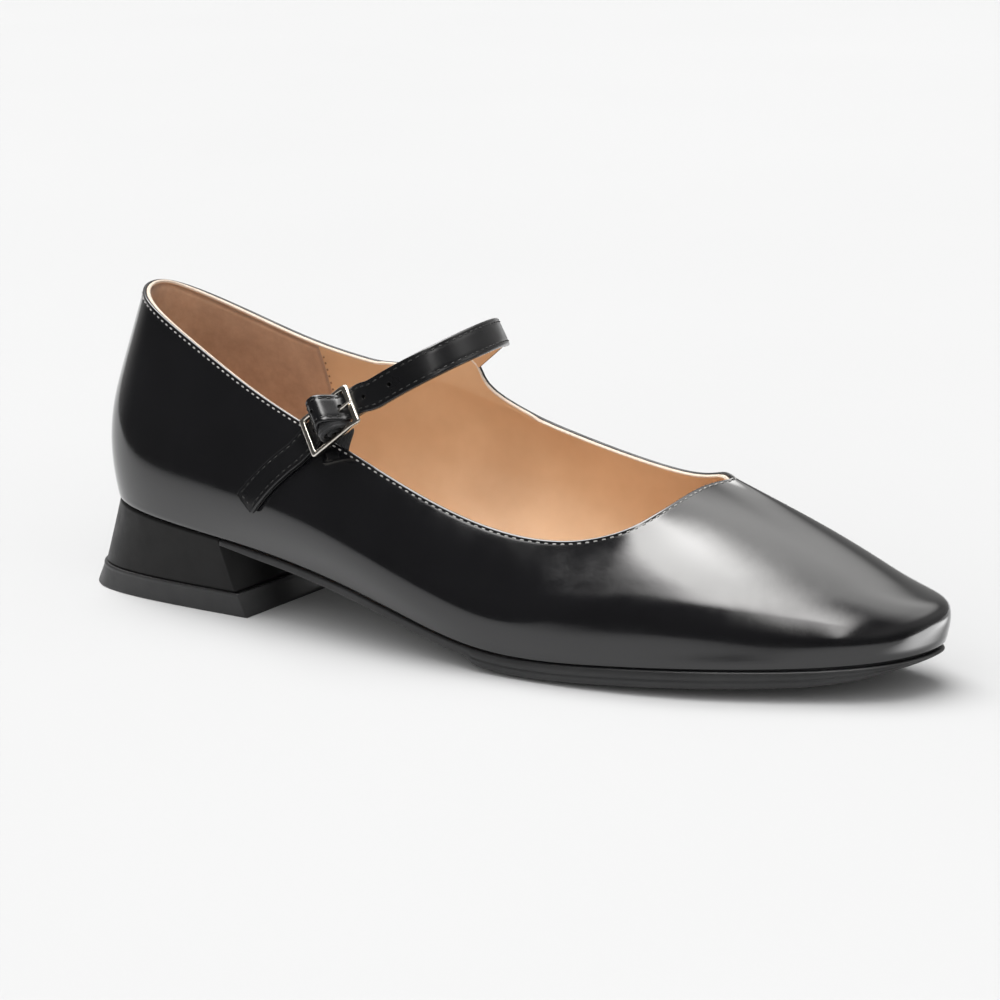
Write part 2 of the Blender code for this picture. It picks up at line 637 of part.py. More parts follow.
def prong_path(steps=6):
    """From the hook under the centre bar, up through the strap's hole, to the tip on the end bar."""
    centre, a, b, n = buckle_axes()
    hook = CENTRE_BAR + GAP + PRONG
    places = [(hook * sin(radians(t)), hook * cos(radians(t))) for t in np.linspace(282, 110, steps)]
    rest = BUCKLE_DEEP / 2 + GAP + PRONG
    reach = BUCKLE_LENGTH / 2
    places += [(reach * 0.45, rest * 0.55), (reach * 0.75, rest * 0.92), (reach * 0.9, rest * 1.02), (reach + 0.3 * MM, rest)]
    return [centre + a * p + n * q for p, q in places]


def elastic_gore(mat):
    """Elastic strip from inside the lateral collar up to the buckle's centre bar."""
    centre, a, b, n = buckle_axes()
    rows = []
    for u_front, u_back, v in ((4.13, 3.83, 0.80), (4.13, 3.83, 0.92), (4.12, 3.82, 1.0)):
        edge = []
        for k in range(5):
            u = u_front + (u_back - u_front) * k / 4
            p = skin(u, v)
            side = np.cross(skin(u + 0.05, v) - p, skin(u, v) - skin(u, v - 0.03))
            side /= np.linalg.norm(side)
            if side[1] < 0:
                side = -side
            edge.append(p + side * (WALL + 0.45 * MM + (0.25 * MM if v == 1.0 else 0)))
        rows.append(np.array(edge))
    rows.append(rows[-1] + np.array([0, -0.3, 2.4]) * MM)
    half_b = 3.7 * MM
    under = CENTRE_BAR + 2 * PRONG + 2 * GAP
    bar = np.array([centre - n * under - a * 2.1 * MM + b * half_b * (k / 2 - 1) for k in range(5)])
    rows.append(rows[-1] * 0.45 + bar * 0.55 + np.array([0, 0, 0.4]) * MM)
    rows.append(bar)
    rows.append(np.array([centre - n * (under + 0.2 * MM) + a * 0.3 * MM + b * half_b * (k / 2 - 1) for k in range(5)]))
    rows = np.array(rows)
    facing = np.cross(np.gradient(rows, axis=0), np.gradient(rows, axis=1))
    facing /= np.linalg.norm(facing, axis=-1)[..., None]
    facing *= np.where(facing[..., 1:2] < 0, -1, 1)
    bm = bmesh.new()
    near = [ring_of(bm, row) for row in rows]
    far = [ring_of(bm, row) for row in rows + facing * 1.0 * MM]
    bridge(bm, near, closed=False)
    bridge(bm, far, closed=False)
    for one, two in ((near[0], far[0]), (near[-1], far[-1])):
        bridge(bm, [one, two], closed=False)
    for side in (0, -1):
        bridge(bm, [[row[side] for row in near], [row[side] for row in far]], closed=False)
    return object_from(bm, "elastic_gore", mat)


def stand_at_origin():
    """Moves the whole shoe so that its box stands on z = 0, centred on the other two axes."""
    meshes = [obj.data for obj in bpy.context.scene.collection.objects]
    corners = np.array([vertex.co for mesh in meshes for vertex in mesh.vertices])
    low, high = corners.min(axis=0), corners.max(axis=0)
    away = Vector((-(low[0] + high[0]) / 2, -(low[1] + high[1]) / 2, -low[2]))
    for mesh in meshes:
        mesh.transform(Matrix.Translation(away))
        mesh.update()


def main():
    clear_scene()
    black = material("black_polished_leather", (0.012, 0.012, 0.014), 0.18)
    edge = material("black_strap_leather", (0.013, 0.013, 0.014), 0.3)
    sole_rubber = material("black_sole_rubber", (0.02, 0.02, 0.021), 0.45)
    heel_black = material("black_heel_finish", (0.016, 0.016, 0.017), 0.38)
    lift_rubber = material("black_lift_rubber", (0.022, 0.022, 0.023), 0.5)
    tan = material("tan_sock_leather", (0.52, 0.27, 0.12), 0.6)
    elastic = material("black_elastic", (0.018, 0.018, 0.019), 0.8)
    metal = material("pale_polished_metal", (0.80, 0.77, 0.72), 0.15, 1.0)
    upper(black)
    insole(tan)
    outsole(sole_rubber)
    heel_block(heel_black)
    top_lift(lift_rubber)
    band = strap(edge)
    path = prong_path()
    joined(band, wire("prong_hole", edge, path[5:], PRONG + 0.35 * MM, 1), "DIFFERENCE")
    buckle_frame(metal)
    wire("buckle_prong", metal, path, PRONG)
    elastic_gore(elastic)
    stand_at_origin()


main()
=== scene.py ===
"""Right mary jane shoe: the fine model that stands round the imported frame.

Metres, +Z up, +X to the toe, +Y to the medial side. The last's tables are the frame's own, in
millimetres from the back of the heel, and ORIGIN moves them into the frame.
"""

from math import cos, pi, radians, sin, sqrt

import bpy
import numpy as np
from mathutils import Matrix, Vector


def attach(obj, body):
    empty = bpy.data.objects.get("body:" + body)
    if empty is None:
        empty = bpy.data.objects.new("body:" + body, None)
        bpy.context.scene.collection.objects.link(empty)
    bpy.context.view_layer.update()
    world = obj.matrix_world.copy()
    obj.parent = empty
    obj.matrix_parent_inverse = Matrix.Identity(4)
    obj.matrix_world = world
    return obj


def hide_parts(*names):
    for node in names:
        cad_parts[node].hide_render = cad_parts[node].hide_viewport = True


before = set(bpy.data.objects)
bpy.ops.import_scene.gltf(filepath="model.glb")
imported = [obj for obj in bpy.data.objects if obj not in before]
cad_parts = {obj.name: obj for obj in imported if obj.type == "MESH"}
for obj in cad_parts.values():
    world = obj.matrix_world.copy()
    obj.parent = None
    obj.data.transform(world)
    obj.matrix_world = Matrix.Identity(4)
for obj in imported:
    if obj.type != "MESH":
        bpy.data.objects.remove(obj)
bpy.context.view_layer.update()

# ---------------------------------------------------------------- sizes, as in the frame
MM = 0.001
LENGTH = 0.252
BALL_WIDTH = 0.080
BACK_HEIGHT = 0.083
ORIGIN = np.array([-0.123758, 0.002762, 0.0])
LEATHER = 0.95 * MM      # outer leather
LINING = 1.0 * MM
BREAST_X = 53.0 * MM
STRAP_WIDTH = 7.5 * MM
STRAP_THICK = 1.6 * MM
LIFT_THICK = 6.7 * MM
HEEL_FLARE_BACK = 8.6 * MM
HEEL_BOTTOM_FRONT = 60.0 * MM
GAP = 0.3 * MM

SECTIONS = [
    # name             facing feather_x feather_y top_x  top_y  top_z swell lean_3 lean_4 rise_3 rise_4
    ("heel_back",         180, 0.009,  0.028, 0.018,  0.046, 1.011, 5.9, 0.60, 0.84, 0.56, 0.79),
    ("heel_corner_lat",  -140, 0.035, -0.301, 0.044, -0.126, 0.981, 5.8, 0.59, 0.84, 0.59, 0.80),
    ("heel_side_lat",     -95, 0.130, -0.376, 0.142, -0.206, 0.864, 6.2, 0.58, 0.84, 0.60, 0.82),
    ("quarter_lat",       -90, 0.243, -0.389, 0.255, -0.296, 0.725, 7.3, 0.58, 0.84, 0.61, 0.84),
    ("waist_rear_lat",    -90, 0.359, -0.417, 0.378, -0.376, 0.629, 8.5, 0.58, 0.84, 0.61, 0.85),
    ("waist_lat",         -90, 0.465, -0.464, 0.493, -0.409, 0.491, 8.7, 0.58, 0.84, 0.61, 0.86),
    ("ball_rear_lat",     -88, 0.574, -0.507, 0.604, -0.367, 0.396, 6.2, 0.61, 0.84, 0.60, 0.85),
    ("ball_lat",          -80, 0.699, -0.493, 0.691, -0.307, 0.448, 4.3, 0.50, 0.81, 0.58, 0.81),
    ("fore_lat",          -65, 0.813, -0.405, 0.721, -0.198, 0.512, 2.6, 0.34, 0.63, 0.56, 0.76),
    ("toe_side_lat",      -45, 0.910, -0.246, 0.725, -0.029, 0.530, 2.6, 0.26, 0.54, 0.51, 0.70),
    ("toe_corner_lat",    -25, 0.984, -0.115, 0.728,  0.086, 0.553, 4.3, 0.24, 0.51, 0.42, 0.71),
    ("toe_tip",             0, 1.000,  0.089, 0.735,  0.152, 0.557, 6.2, 0.15, 0.52, 0.32, 0.73),
    ("toe_corner_med",     35, 0.980,  0.221, 0.745,  0.169, 0.555, 4.2, 0.16, 0.55, 0.35, 0.73),
    ("toe_side_med",       60, 0.911,  0.282, 0.735,  0.192, 0.560, 2.4, 0.20, 0.57, 0.46, 0.76),
    ("fore_med",           70, 0.810,  0.364, 0.712,  0.297, 0.543, 2.4, 0.31, 0.66, 0.53, 0.81),
    ("ball_med",           80, 0.706,  0.392, 0.664,  0.395, 0.487, 3.8, 0.51, 0.85, 0.58, 0.84),
    ("ball_rear_med",      88, 0.595,  0.339, 0.576,  0.415, 0.523, 7.5, 0.66, 0.88, 0.60, 0.85),
    ("waist_med",          90, 0.480,  0.251, 0.467,  0.429, 0.594,10.7, 0.65, 0.87, 0.61, 0.86),
    ("waist_rear_med",     90, 0.375,  0.247, 0.354,  0.374, 0.715, 9.2, 0.63, 0.87, 0.60, 0.85),
    ("quarter_med",        90, 0.242,  0.321, 0.222,  0.296, 0.772, 5.7, 0.61, 0.86, 0.59, 0.84),
    ("heel_side_med",      95, 0.124,  0.363, 0.115,  0.274, 0.879, 4.5, 0.60, 0.86, 0.56, 0.82),
    ("heel_corner_med",   140, 0.028,  0.342, 0.027,  0.205, 0.980, 4.6, 0.60, 0.85, 0.55, 0.80),
]
SECTION_COLUMNS = ("facing", "feather_x", "feather_y", "top_x", "top_y", "top_z",
                   "swell", "lean_3", "lean_4", "rise_3", "rise_4")
BOTTOM_PROFILE = [
    # x,    z
    (0,   27.1),
    (30,  23.9),
    (60,  21.2),
    (85,  18.1),
    (110, 12.4),
    (135,  6.8),
    (160,  2.9),
    (185,  8.2),
    (210,  7.5),
    (235,  8.9),
    (256, 11.4),
]
TAB = [
    # x,   rise
    (68.0,   0.0), (76.0,   1.5), (81.0,   3.2), (85.5,   5.2), (88.5,   7.2), (91.0,   9.4),
    (92.6,  11.0), (94.0,  12.4), (99.0,   8.8), (99.6,   6.4), (100.4,  4.7), (102.0,  3.2),
    (104.5,  2.0), (108.0,  1.1), (114.0,  0.3), (120.0,  0.0),
]
TAB_LEAN = (0.0, -0.20, 0.98)       # direction in which the tab rises
TAB_SECTION = 17.7                  # where the tab stands, counted in sections

# Outsole thickness along the shoe, mm: thin shank, a step up to the forepart rubber, thin toe
SOLE_THICKNESS = [
    # x,    thick
    (53,   1.5),
    (65,   2.3),
    (90,   2.6),
    (138,  2.7),
    (141,  4.5),
    (205,  4.6),
    (228, 4.2),
    (238, 3.2),
    (246, 1.7),
    (252, 0.6),
]
SOLE_CROWN = 1.0 * MM    # how much lower the tread stands than its edge
SOLE_CHAMFER = 1.2 * MM

# Strap, mm: middle of its outer face and the direction across it, from the tab seam over the instep
# through the buckle to the tail
STRAP = [
    # name          x      y      z     across_x across_y across_z
    ("seam",       96.9,  28.9,  66.4, -0.68, -0.20, 0.70),
    ("rise",      110.4,  23.2,  75.8, -0.67, -0.10, 0.73),
    ("instep",    119.9,   9.5,  80.3, -0.70,  0.03, 0.71),
    ("crest",     124.8,  -7.1,  81.8, -0.71,  0.14, 0.69),
    ("shoulder",  123.2, -20.4,  80.0, -0.69,  0.22, 0.69),
    ("drop",      114.2, -28.6,  74.6, -0.66,  0.28, 0.70),
    ("buckle_in",  99.8, -32.2,  65.6, -0.62,  0.32, 0.72),
    ("buckle_out", 85.0, -32.4,  53.4, -0.62,  0.32, 0.71),
    ("tail",       74.6, -35.0,  43.6, -0.70,  0.30, 0.65),
    ("tail_end",   67.6, -38.6,  35.6, -0.78,  0.33, 0.53),
]
# Buckle frame: a wire rectangle with a centre bar, lying on the quarter
BUCKLE_CENTRE = (92.1, -32.4, 59.3)     # mm
BUCKLE_ALONG = (0.776, 0.053, 0.626)    # along the strap, towards the instep
BUCKLE_ACROSS = (-0.609, 0.329, 0.723)  # across the strap, towards the back of the shoe
BUCKLE_LENGTH = 18.4 * MM
BUCKLE_WIDTH = 11.8 * MM
BUCKLE_DEEP = 1.5 * MM                   # their thickness
CENTRE_BAR = 0.6 * MM                    # radius
PRONG = 0.5 * MM                         # radius of the prong's wire


# ---------------------------------------------------------------- mathematics of the last
def periodic_spline(rows, u):
    """Closed uniform cubic B-spline through the section rows, read at u counted in sections."""
    n = len(rows)
    i = np.floor(u).astype(int)
    t = (u - i)[:, None]
    flat = rows.reshape(n, -1)
    p = [flat[(i + k - 1) % n] for k in range(4)]
    out = (p[0] * (1 - t) ** 3 + p[1] * (3 * t**3 - 6 * t**2 + 4)
           + p[2] * (-3 * t**3 + 3 * t**2 + 3 * t + 1) + p[3] * t**3) / 6
    return out.reshape((len(u),) + rows.shape[1:])


def clamped_basis(count, v, degree=3):
    """Weights of a clamped uniform B-spline with this many control rows, at v from 0 to 1."""
    knots = np.concatenate([np.zeros(degree), np.linspace(0, 1, count - degree + 1), np.ones(degree)])
    v = np.clip(v, 0, 1 - 1e-9)
    basis = [((knots[i] <= v) & (v < knots[i + 1])).astype(float) for i in range(len(knots) - 1)]
    for d in range(1, degree + 1):
        raised = []
        for i in range(len(knots) - 1 - d):
            left = knots[i + d] - knots[i]
            right = knots[i + d + 1] - knots[i + 1]
            term = np.zeros_like(v)
            if left > 0:
                term += (v - knots[i]) / left * basis[i]
            if right > 0:
                term += (knots[i + d + 1] - v) / right * basis[i + 1]
            raised.append(term)
        basis = raised
    return np.stack(basis, 1)


def natural_cubic(table, x):
    """Natural cubic spline through a two-column table."""
    knots, values = np.array(table, float).T
    n = len(knots)
    h = np.diff(knots)
    a = np.zeros((n, n))
    b = np.zeros(n)
    a[0, 0] = a[-1, -1] = 1
    for i in range(1, n - 1):
        a[i, i - 1], a[i, i], a[i, i + 1] = h[i - 1], 2 * (h[i - 1] + h[i]), h[i]
        b[i] = 6 * ((values[i + 1] - values[i]) / h[i] - (values[i] - values[i - 1]) / h[i - 1])
    m = np.linalg.solve(a, b)
    x = np.clip(x, knots[0] - 5, knots[-1] + 5)
    i = np.clip(np.searchsorted(knots, x) - 1, 0, n - 2)
    s, e = knots[i + 1] - x, x - knots[i]
    return ((m[i] * s**3 + m[i + 1] * e**3) / (6 * h[i])
            + (values[i] / h[i] - m[i] * h[i] / 6) * s + (values[i + 1] / h[i] - m[i + 1] * h[i] / 6) * e)


def control_net():
    """Control rows of the skin, section by section: feather, wall, belly, shoulder, edge, topline."""
    t = {name: np.array([row[k + 1] for row in SECTIONS], float) for k, name in enumerate(SECTION_COLUMNS)}
    facing = np.radians(t["facing"])
    out = np.stack([np.cos(facing), np.sin(facing)], 1)
    feather = np.stack([t["feather_x"] * LENGTH, t["feather_y"] * BALL_WIDTH], 1)
    top = np.stack([t["top_x"] * LENGTH, t["top_y"] * BALL_WIDTH], 1)
    feather_z = natural_cubic(BOTTOM_PROFILE, feather[:, 0] / MM) * MM
    top_z = t["top_z"] * BACK_HEIGHT
    belly = np.clip((t["lean_3"] - 0.10) * 2, 0, 1) * 0.33
    one = np.ones(len(SECTIONS))
    lean = np.stack([0 * one, 0.4 * belly, belly, t["lean_3"], t["lean_4"], one], 1)
    rise = np.stack([0 * one, 0.14 * one, 0.36 * one, t["rise_3"], t["rise_4"], one], 1)
    swell = np.array([0, 0.55, 1.0, 0.85, 0.45, 0])
    net = np.zeros((len(SECTIONS), 6, 3))
    for k in range(6):
        net[:, k, :2] = feather + (top - feather) * lean[:, k:k + 1] + out * (t["swell"] * MM * swell[k])[:, None]
        net[:, k, 2] = feather_z + (top_z - feather_z) * rise[:, k]
    return net


NET = control_net()


def smooth_step(x):
    x = np.clip(x, 0, 1)
    return x * x * (3 - 2 * x)


def plain_skin(u, v):
    """Points of the plain form: u counted in sections, v from 0 at the feather to 1 at the topline."""
    u, v = np.broadcast_arrays(np.asarray(u, float), np.asarray(v, float))
    columns = periodic_spline(NET, u.ravel())
    weights = clamped_basis(6, v.ravel())
    return np.einsum("nk,nkd->nd", weights, columns).reshape(u.shape + (3,))


# How far the lasted toe stands out of the plain form, mm: a flat top with a crisp shoulder that runs to the toe's
# corner. Rows are the sections in TOE_AT, columns the heights in TOE_UP.
TOE_AT = (6.2, 6.9, 7.6, 8.3, 9.0, 9.7, 10.4, 11.1, 11.8)
TOE_UP = (0.10, 0.22, 0.34, 0.46, 0.58, 0.72, 0.86, 1.0)
TOE_REACH = (0.62, 0.12)
TOE_SHAPE = [
    ( 0.09,  0.12,  0.15,  0.40,  0.56,  0.31, -0.08, -0.36),
    (-0.02,  0.10,  0.08,  0.45,  0.50,  0.16, -0.13, -0.42),
    (-0.12,  0.05,  0.14,  0.46,  0.24,  0.07, -0.05, -0.44),
    (-0.14, -0.00,  0.10,  0.00,  0.01,  0.35,  0.45, -0.19),
    ( 0.04,  0.12,  0.01, -0.13,  0.28,  0.63,  0.68,  0.27),
    ( 0.20,  0.30, -0.36, -0.36,  0.05,  0.07, -0.05, -0.02),
    (-0.16, -0.08, -0.24, -0.19, -0.10, -0.23, -0.40, -0.38),
    (-0.19, -0.11, -0.06,  0.14,  0.02,  0.02, -0.08, -0.41),
    ( 0.09,  0.10, -0.05, -0.04, -0.00, -0.05,  0.03, -0.14),
]


def toe_shape(u, v):
    window = smooth_step((v - 0.02) / 0.10) * smooth_step((u - 5.7) / 0.9) * (1 - smooth_step((u - 12.2) / 1.4))
    total = 0.0
    for at, row in zip(TOE_AT, TOE_SHAPE):
        for up, value in zip(TOE_UP, row):
            total = total + value * np.exp(-(((u - at) / TOE_REACH[0]) ** 2) - ((v - up) / TOE_REACH[1]) ** 2)
    return total * window * MM


def skin(u, v):
    """Points of the upper's outer face: the plain form with the toe's shape on it."""
    u, v = np.broadcast_arrays(np.asarray(u, float), np.asarray(v, float))
    points = plain_skin(u, v)
    near = ((u % 22) > 5.7) & ((u % 22) < 13.6) & (v > 0.02)
    if near.any():
        un, vn = u[near], v[near]
        normal = np.cross(plain_skin(un + 0.02, vn) - plain_skin(un - 0.02, vn), plain_skin(un, np.minimum(vn + 0.006, 1)) - plain_skin(un, vn - 0.006))
        normal = normal / np.linalg.norm(normal, axis=1)[:, None] * TOE_SIDE
        points = points.copy()
        points[near] += normal * toe_shape(un % 22, vn)[:, None]
    return points


def which_side():
    """Sign that makes the cross product of the form's two directions point outwards."""
    along = plain_skin([11.02], [0.3]) - plain_skin([10.98], [0.3])
    rise = plain_skin([11.0], [0.31]) - plain_skin([11.0], [0.29])
    return 1.0 if np.cross(along, rise)[0, 0] > 0 else -1.0


TOE_SIDE = which_side()


def tab_rise(u):
    """Height of the medial tab above the plain topline at section position u."""
    u = np.asarray(u, float)
    x = skin(u, np.ones_like(u))[..., 0] / MM
    knots, rise = np.array(TAB).T
    near = np.abs(u - TAB_SECTION) < 2.5
    return np.where(near, np.interp(x, knots, rise), 0.0) * MM


def feather_at(x, side):
    """Section position where the feather line crosses this x on one side."""
    low, high = (0.5, 10.5) if side == "lateral" else (11.8, 21.5)
    u = np.linspace(low, high, 2001)
    xs = skin(u, np.zeros_like(u))[:, 0]
    return float(np.interp(x, xs, u)) if side == "lateral" else float(np.interp(-x, -xs, u))


def plan_normals(ring, closed=True):
    """Outward unit normals of a plan outline that runs clockwise or anticlockwise round its middle."""
    if closed:
        along = np.roll(ring, -1, 0) - np.roll(ring, 1, 0)
    else:
        along = np.gradient(ring, axis=0)
    normal = np.stack([along[:, 1], -along[:, 0]], 1)
    normal /= np.linalg.norm(normal, axis=1)[:, None]
    area = np.sum(ring[:, 0] * np.roll(ring[:, 1], -1) - np.roll(ring[:, 0], -1) * ring[:, 1])
    return normal if area > 0 else -normal


def fine_tab_rise(u):
    """The tab's rise with its corners eased, as cut leather has them."""
    u = np.asarray(u, float)
    x = skin(u, np.ones_like(u))[..., 0] / MM
    knots, rise = np.array(TAB).T
    wide = np.clip(np.abs(x - 96.5) / 12, 0.12, 1) * 2.2
    total = sum(w * np.interp(x + d * wide, knots, rise) for d, w in ((-1, 0.25), (-0.5, 0.25), (0, 0.0), (0.5, 0.25), (1, 0.25)))
    return np.where(np.abs(u - TAB_SECTION) < 2.5, total, 0.0) * MM


class Wall:
    """The outer face at fixed section positions, measured in true lengths down from the cut edge."""

    def __init__(self, u):
        self.u = np.atleast_1d(np.asarray(u, float))
        self.v = 1 - np.linspace(0, 1, 121) ** 1.6
        points = skin(self.u[:, None], self.v[None])
        step = np.linalg.norm(np.diff(points, axis=1), axis=2)
        self.length = np.concatenate([np.zeros((len(self.u), 1)), np.cumsum(step, axis=1)], axis=1)
        self.rise = fine_tab_rise(self.u)
        self.high = self.length[:, -1] + self.rise

    def at(self, down):
        """Points this far below the edge: one distance for all columns, or one for each."""
        down = np.broadcast_to(np.asarray(down, float), self.u.shape) - self.rise
        v = np.array([np.interp(d, row, self.v) for d, row in zip(down, self.length)])
        over = np.clip(-down, 0, None)
        return skin(self.u, v) + over[..., None] * np.array(TAB_LEAN)


def wall_normal(u, down):
    """Outward normals at single points of the outer face."""
    u, down = np.asarray(u, float), np.asarray(down, float)
    ahead, behind = face_point(u + 0.01, down), face_point(u - 0.01, down)
    above, below = face_point(u, down - 0.3 * MM), face_point(u, down + 0.3 * MM)
    normal = unit(np.cross(ahead - behind, above - below))
    middle = np.array([0.12, 0.0, 0.05])
    return np.where(np.sum(normal * (above - middle) * np.array([0.2, 1, 0]), axis=-1)[..., None] < 0, -normal, normal)


def face_point(u, down):
    """Points of the outer face this far below the cut edge, in metres down the wall."""
    u = np.asarray(u, float)
    return Wall(u.ravel()).at(down).reshape(u.shape + (3,))


def unit(v):
    return v / np.maximum(np.linalg.norm(v, axis=-1), 1e-12)[..., None]


def grid_normals(points, closed):
    """Outward normals of a grid whose first axis runs round the shoe."""
    if closed:
        du = np.roll(points, -1, 0) - np.roll(points, 1, 0)
    else:
        du = np.gradient(points, axis=0)
    dr = np.gradient(points, axis=1)
    normal = unit(np.cross(du, dr))
    return normal


# ---------------------------------------------------------------- mesh helpers
def piece(name, verts, faces, mats, which=None, uvs=None, stands_for=(), smooth=True):
    """An object from model points (metres, heel-back origin), riding on the frame."""
    mesh = bpy.data.meshes.new(name)
    verts = np.asarray(verts, float) + ORIGIN
    mesh.from_pydata(verts.tolist(), [], [list(map(int, f)) for f in faces])
    for mat in mats:
        mesh.materials.append(mat)
    count = len(mesh.polygons)
    if which is not None:
        mesh.polygons.foreach_set("material_index", np.asarray(which, np.int32))
    mesh.polygons.foreach_set("use_smooth", np.full(count, bool(smooth)))
    if uvs is not None:
        layer = mesh.uv_layers.new(name="lengths")
        loops = np.empty(len(mesh.loops), np.int32)
        mesh.loops.foreach_get("vertex_index", loops)
        layer.data.foreach_set("uv", np.asarray(uvs, np.float32)[loops].ravel())
    mesh.update()
    made = bpy.data.objects.new(name, mesh)
    bpy.context.scene.collection.objects.link(made)
    outward(made)
    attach(made, "root")
    if stands_for:
        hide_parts(*stands_for)
    return made


def outward(obj):
    """Turns the faces so that the mesh encloses a positive volume."""
    mesh = obj.data
    mesh.calc_loop_triangles()
    co = np.empty(len(mesh.vertices) * 3)
    mesh.vertices.foreach_get("co", co)
    co = co.reshape(-1, 3)
    tri = np.empty(len(mesh.loop_triangles) * 3, np.int32)
    mesh.loop_triangles.foreach_get("vertices", tri)
    tri = tri.reshape(-1, 3)
    a, b, c = co[tri[:, 0]], co[tri[:, 1]], co[tri[:, 2]]
    if np.einsum("ij,ij->i", a, np.cross(b, c)).sum() < 0:
        mesh.flip_normals()


def sweep_faces(rings, around, closed_rings, closed_around=True, start=0):
    """Quads of a tube: rings x around vertices, in order."""
    faces = []
    last = rings if closed_rings else rings - 1
    for i in range(last):
        j = (i + 1) % rings
        a = start + i * around
        b = start + j * around
        k = np.arange(around if closed_around else around - 1)
        n = (k + 1) % around
        faces.append(np.stack([a + k, a + n, b + n, b + k], 1))
    return np.concatenate(faces)


def tube(points, radius, around=12, squash=1.0, side=None):
    """Round wire along a path, with rounded ends. side is the direction across which squash thins it."""
    points = np.asarray(points, float)
    along = unit(np.gradient(points, axis=0))
    radius = np.broadcast_to(np.asarray(radius, float), len(points)).copy()
    if side is None:
        side = unit(np.cross(along[0], [0.3, 0.5, 0.8]))
    frames = []
    x = np.asarray(side, float)
    for t in along:
        x = x - np.dot(x, t) * t
        x = x / np.linalg.norm(x)
        frames.append((x, np.cross(t, x)))
    rings = []
    caps = 4
    order = [(0, -radius[0] * cos(pi / 2 * k / caps), sin(pi / 2 * k / caps)) for k in range(1, caps)]
    order += [(i, 0.0, 1.0) for i in range(len(points))]
    order += [(len(points) - 1, radius[-1] * cos(pi / 2 * k / caps), sin(pi / 2 * k / caps)) for k in range(caps - 1, 0, -1)]
    for i, push, scale in order:
        x, y = frames[i]
        angle = np.linspace(0, 2 * pi, around, endpoint=False)
        r = radius[i] * scale
        rings.append(points[i] + along[i] * push + np.outer(np.cos(angle) * r * squash, x) + np.outer(np.sin(angle) * r, y))
    verts = np.concatenate(rings)
    n = len(rings)
    faces = [list(f) for f in sweep_faces(n, around, False)]
    tip0, tip1 = len(verts), len(verts) + 1
    verts = np.concatenate([verts, [points[0] - along[0] * radius[0], points[-1] + along[-1] * radius[-1]]])
    for k in range(around):
        m = (k + 1) % around
        faces.append([tip0, m, k])
        faces.append([tip1, (n - 1) * around + k, (n - 1) * around + m])
    return verts, faces


def merged(parts):
    """Several (verts, faces) as one."""
    verts, faces, start = [], [], 0
    for v, f in parts:
        verts.append(v)
        faces += [[start + i for i in face] for face in f]
        start += len(v)
    return np.concatenate(verts), faces


# ---------------------------------------------------------------- materials
class Nodes:
    """Small helper round a material's node tree."""

    def __init__(self, name):
        self.mat = bpy.data.materials.new(name)
        self.mat.use_nodes = True
        self.tree = self.mat.node_tree
        self.shader = self.tree.nodes["Principled BSDF"]
        self.coords = self.new("ShaderNodeTexCoord")
        self.bumps = []

    def new(self, kind, **settings):
        node = self.tree.nodes.new(kind)
        for key, value in settings.items():
            setattr(node, key, value)
        return node

    def link(self, a, b):
        self.tree.links.new(a, b)

    def set(self, **values):
        for key, value in values.items():
            self.shader.inputs[key.replace("_", " ")].default_value = value

    def noise(self, scale, detail=3.0, rough=0.5, source="Object", stretch=None):
        out = self.coords.outputs[source]
        if stretch:
            mapping = self.new("ShaderNodeMapping")
            mapping.inputs["Scale"].default_value = stretch
            self.link(out, mapping.inputs["Vector"])
            out = mapping.outputs["Vector"]
        node = self.new("ShaderNodeTexNoise")
        node.inputs["Scale"].default_value = scale
        node.inputs["Detail"].default_value = detail
        node.inputs["Roughness"].default_value = rough
        self.link(out, node.inputs["Vector"])
        return node.outputs["Fac"]

    def voronoi(self, scale, source="Object", feature="DISTANCE_TO_EDGE", stretch=None):
        out = self.coords.outputs[source]
        if stretch:
            mapping = self.new("ShaderNodeMapping")
            mapping.inputs["Scale"].default_value = stretch
            self.link(out, mapping.inputs["Vector"])
            out = mapping.outputs["Vector"]
        node = self.new("ShaderNodeTexVoronoi", feature=feature)
        node.inputs["Scale"].default_value = scale
        self.link(out, node.inputs["Vector"])
        return node.outputs["Distance"]

    def ramp(self, fac, *stops):
        node = self.new("ShaderNodeValToRGB")
        elements = node.color_ramp.elements
        while len(elements) < len(stops):
            elements.new(0.5)
        for element, (at, colour) in zip(elements, stops):
            element.position = at
            element.color = colour if len(colour) == 4 else (*colour, 1)
        self.link(fac, node.inputs["Fac"])
        return node.outputs["Color"]

    def range(self, fac, low, high, start=0.0, end=1.0):
        node = self.new("ShaderNodeMapRange")
        node.inputs["From Min"].default_value = start
        node.inputs["From Max"].default_value = end
        node.inputs["To Min"].default_value = low
        node.inputs["To Max"].default_value = high
        self.link(fac, node.inputs["Value"])
        return node.outputs["Result"]

    def bump(self, height, distance, strength=1.0):
        node = self.new("ShaderNodeBump")
        node.inputs["Strength"].default_value = strength
        node.inputs["Distance"].default_value = distance
        self.link(height, node.inputs["Height"])
        if self.bumps:
            self.link(self.bumps[-1].outputs["Normal"], node.inputs["Normal"])
        self.bumps.append(node)
        self.link(node.outputs["Normal"], self.shader.inputs["Normal"])

    def colour(self, socket):
        self.link(socket, self.shader.inputs["Base Color"])

    def rough(self, socket):
        self.link(socket, self.shader.inputs["Roughness"])


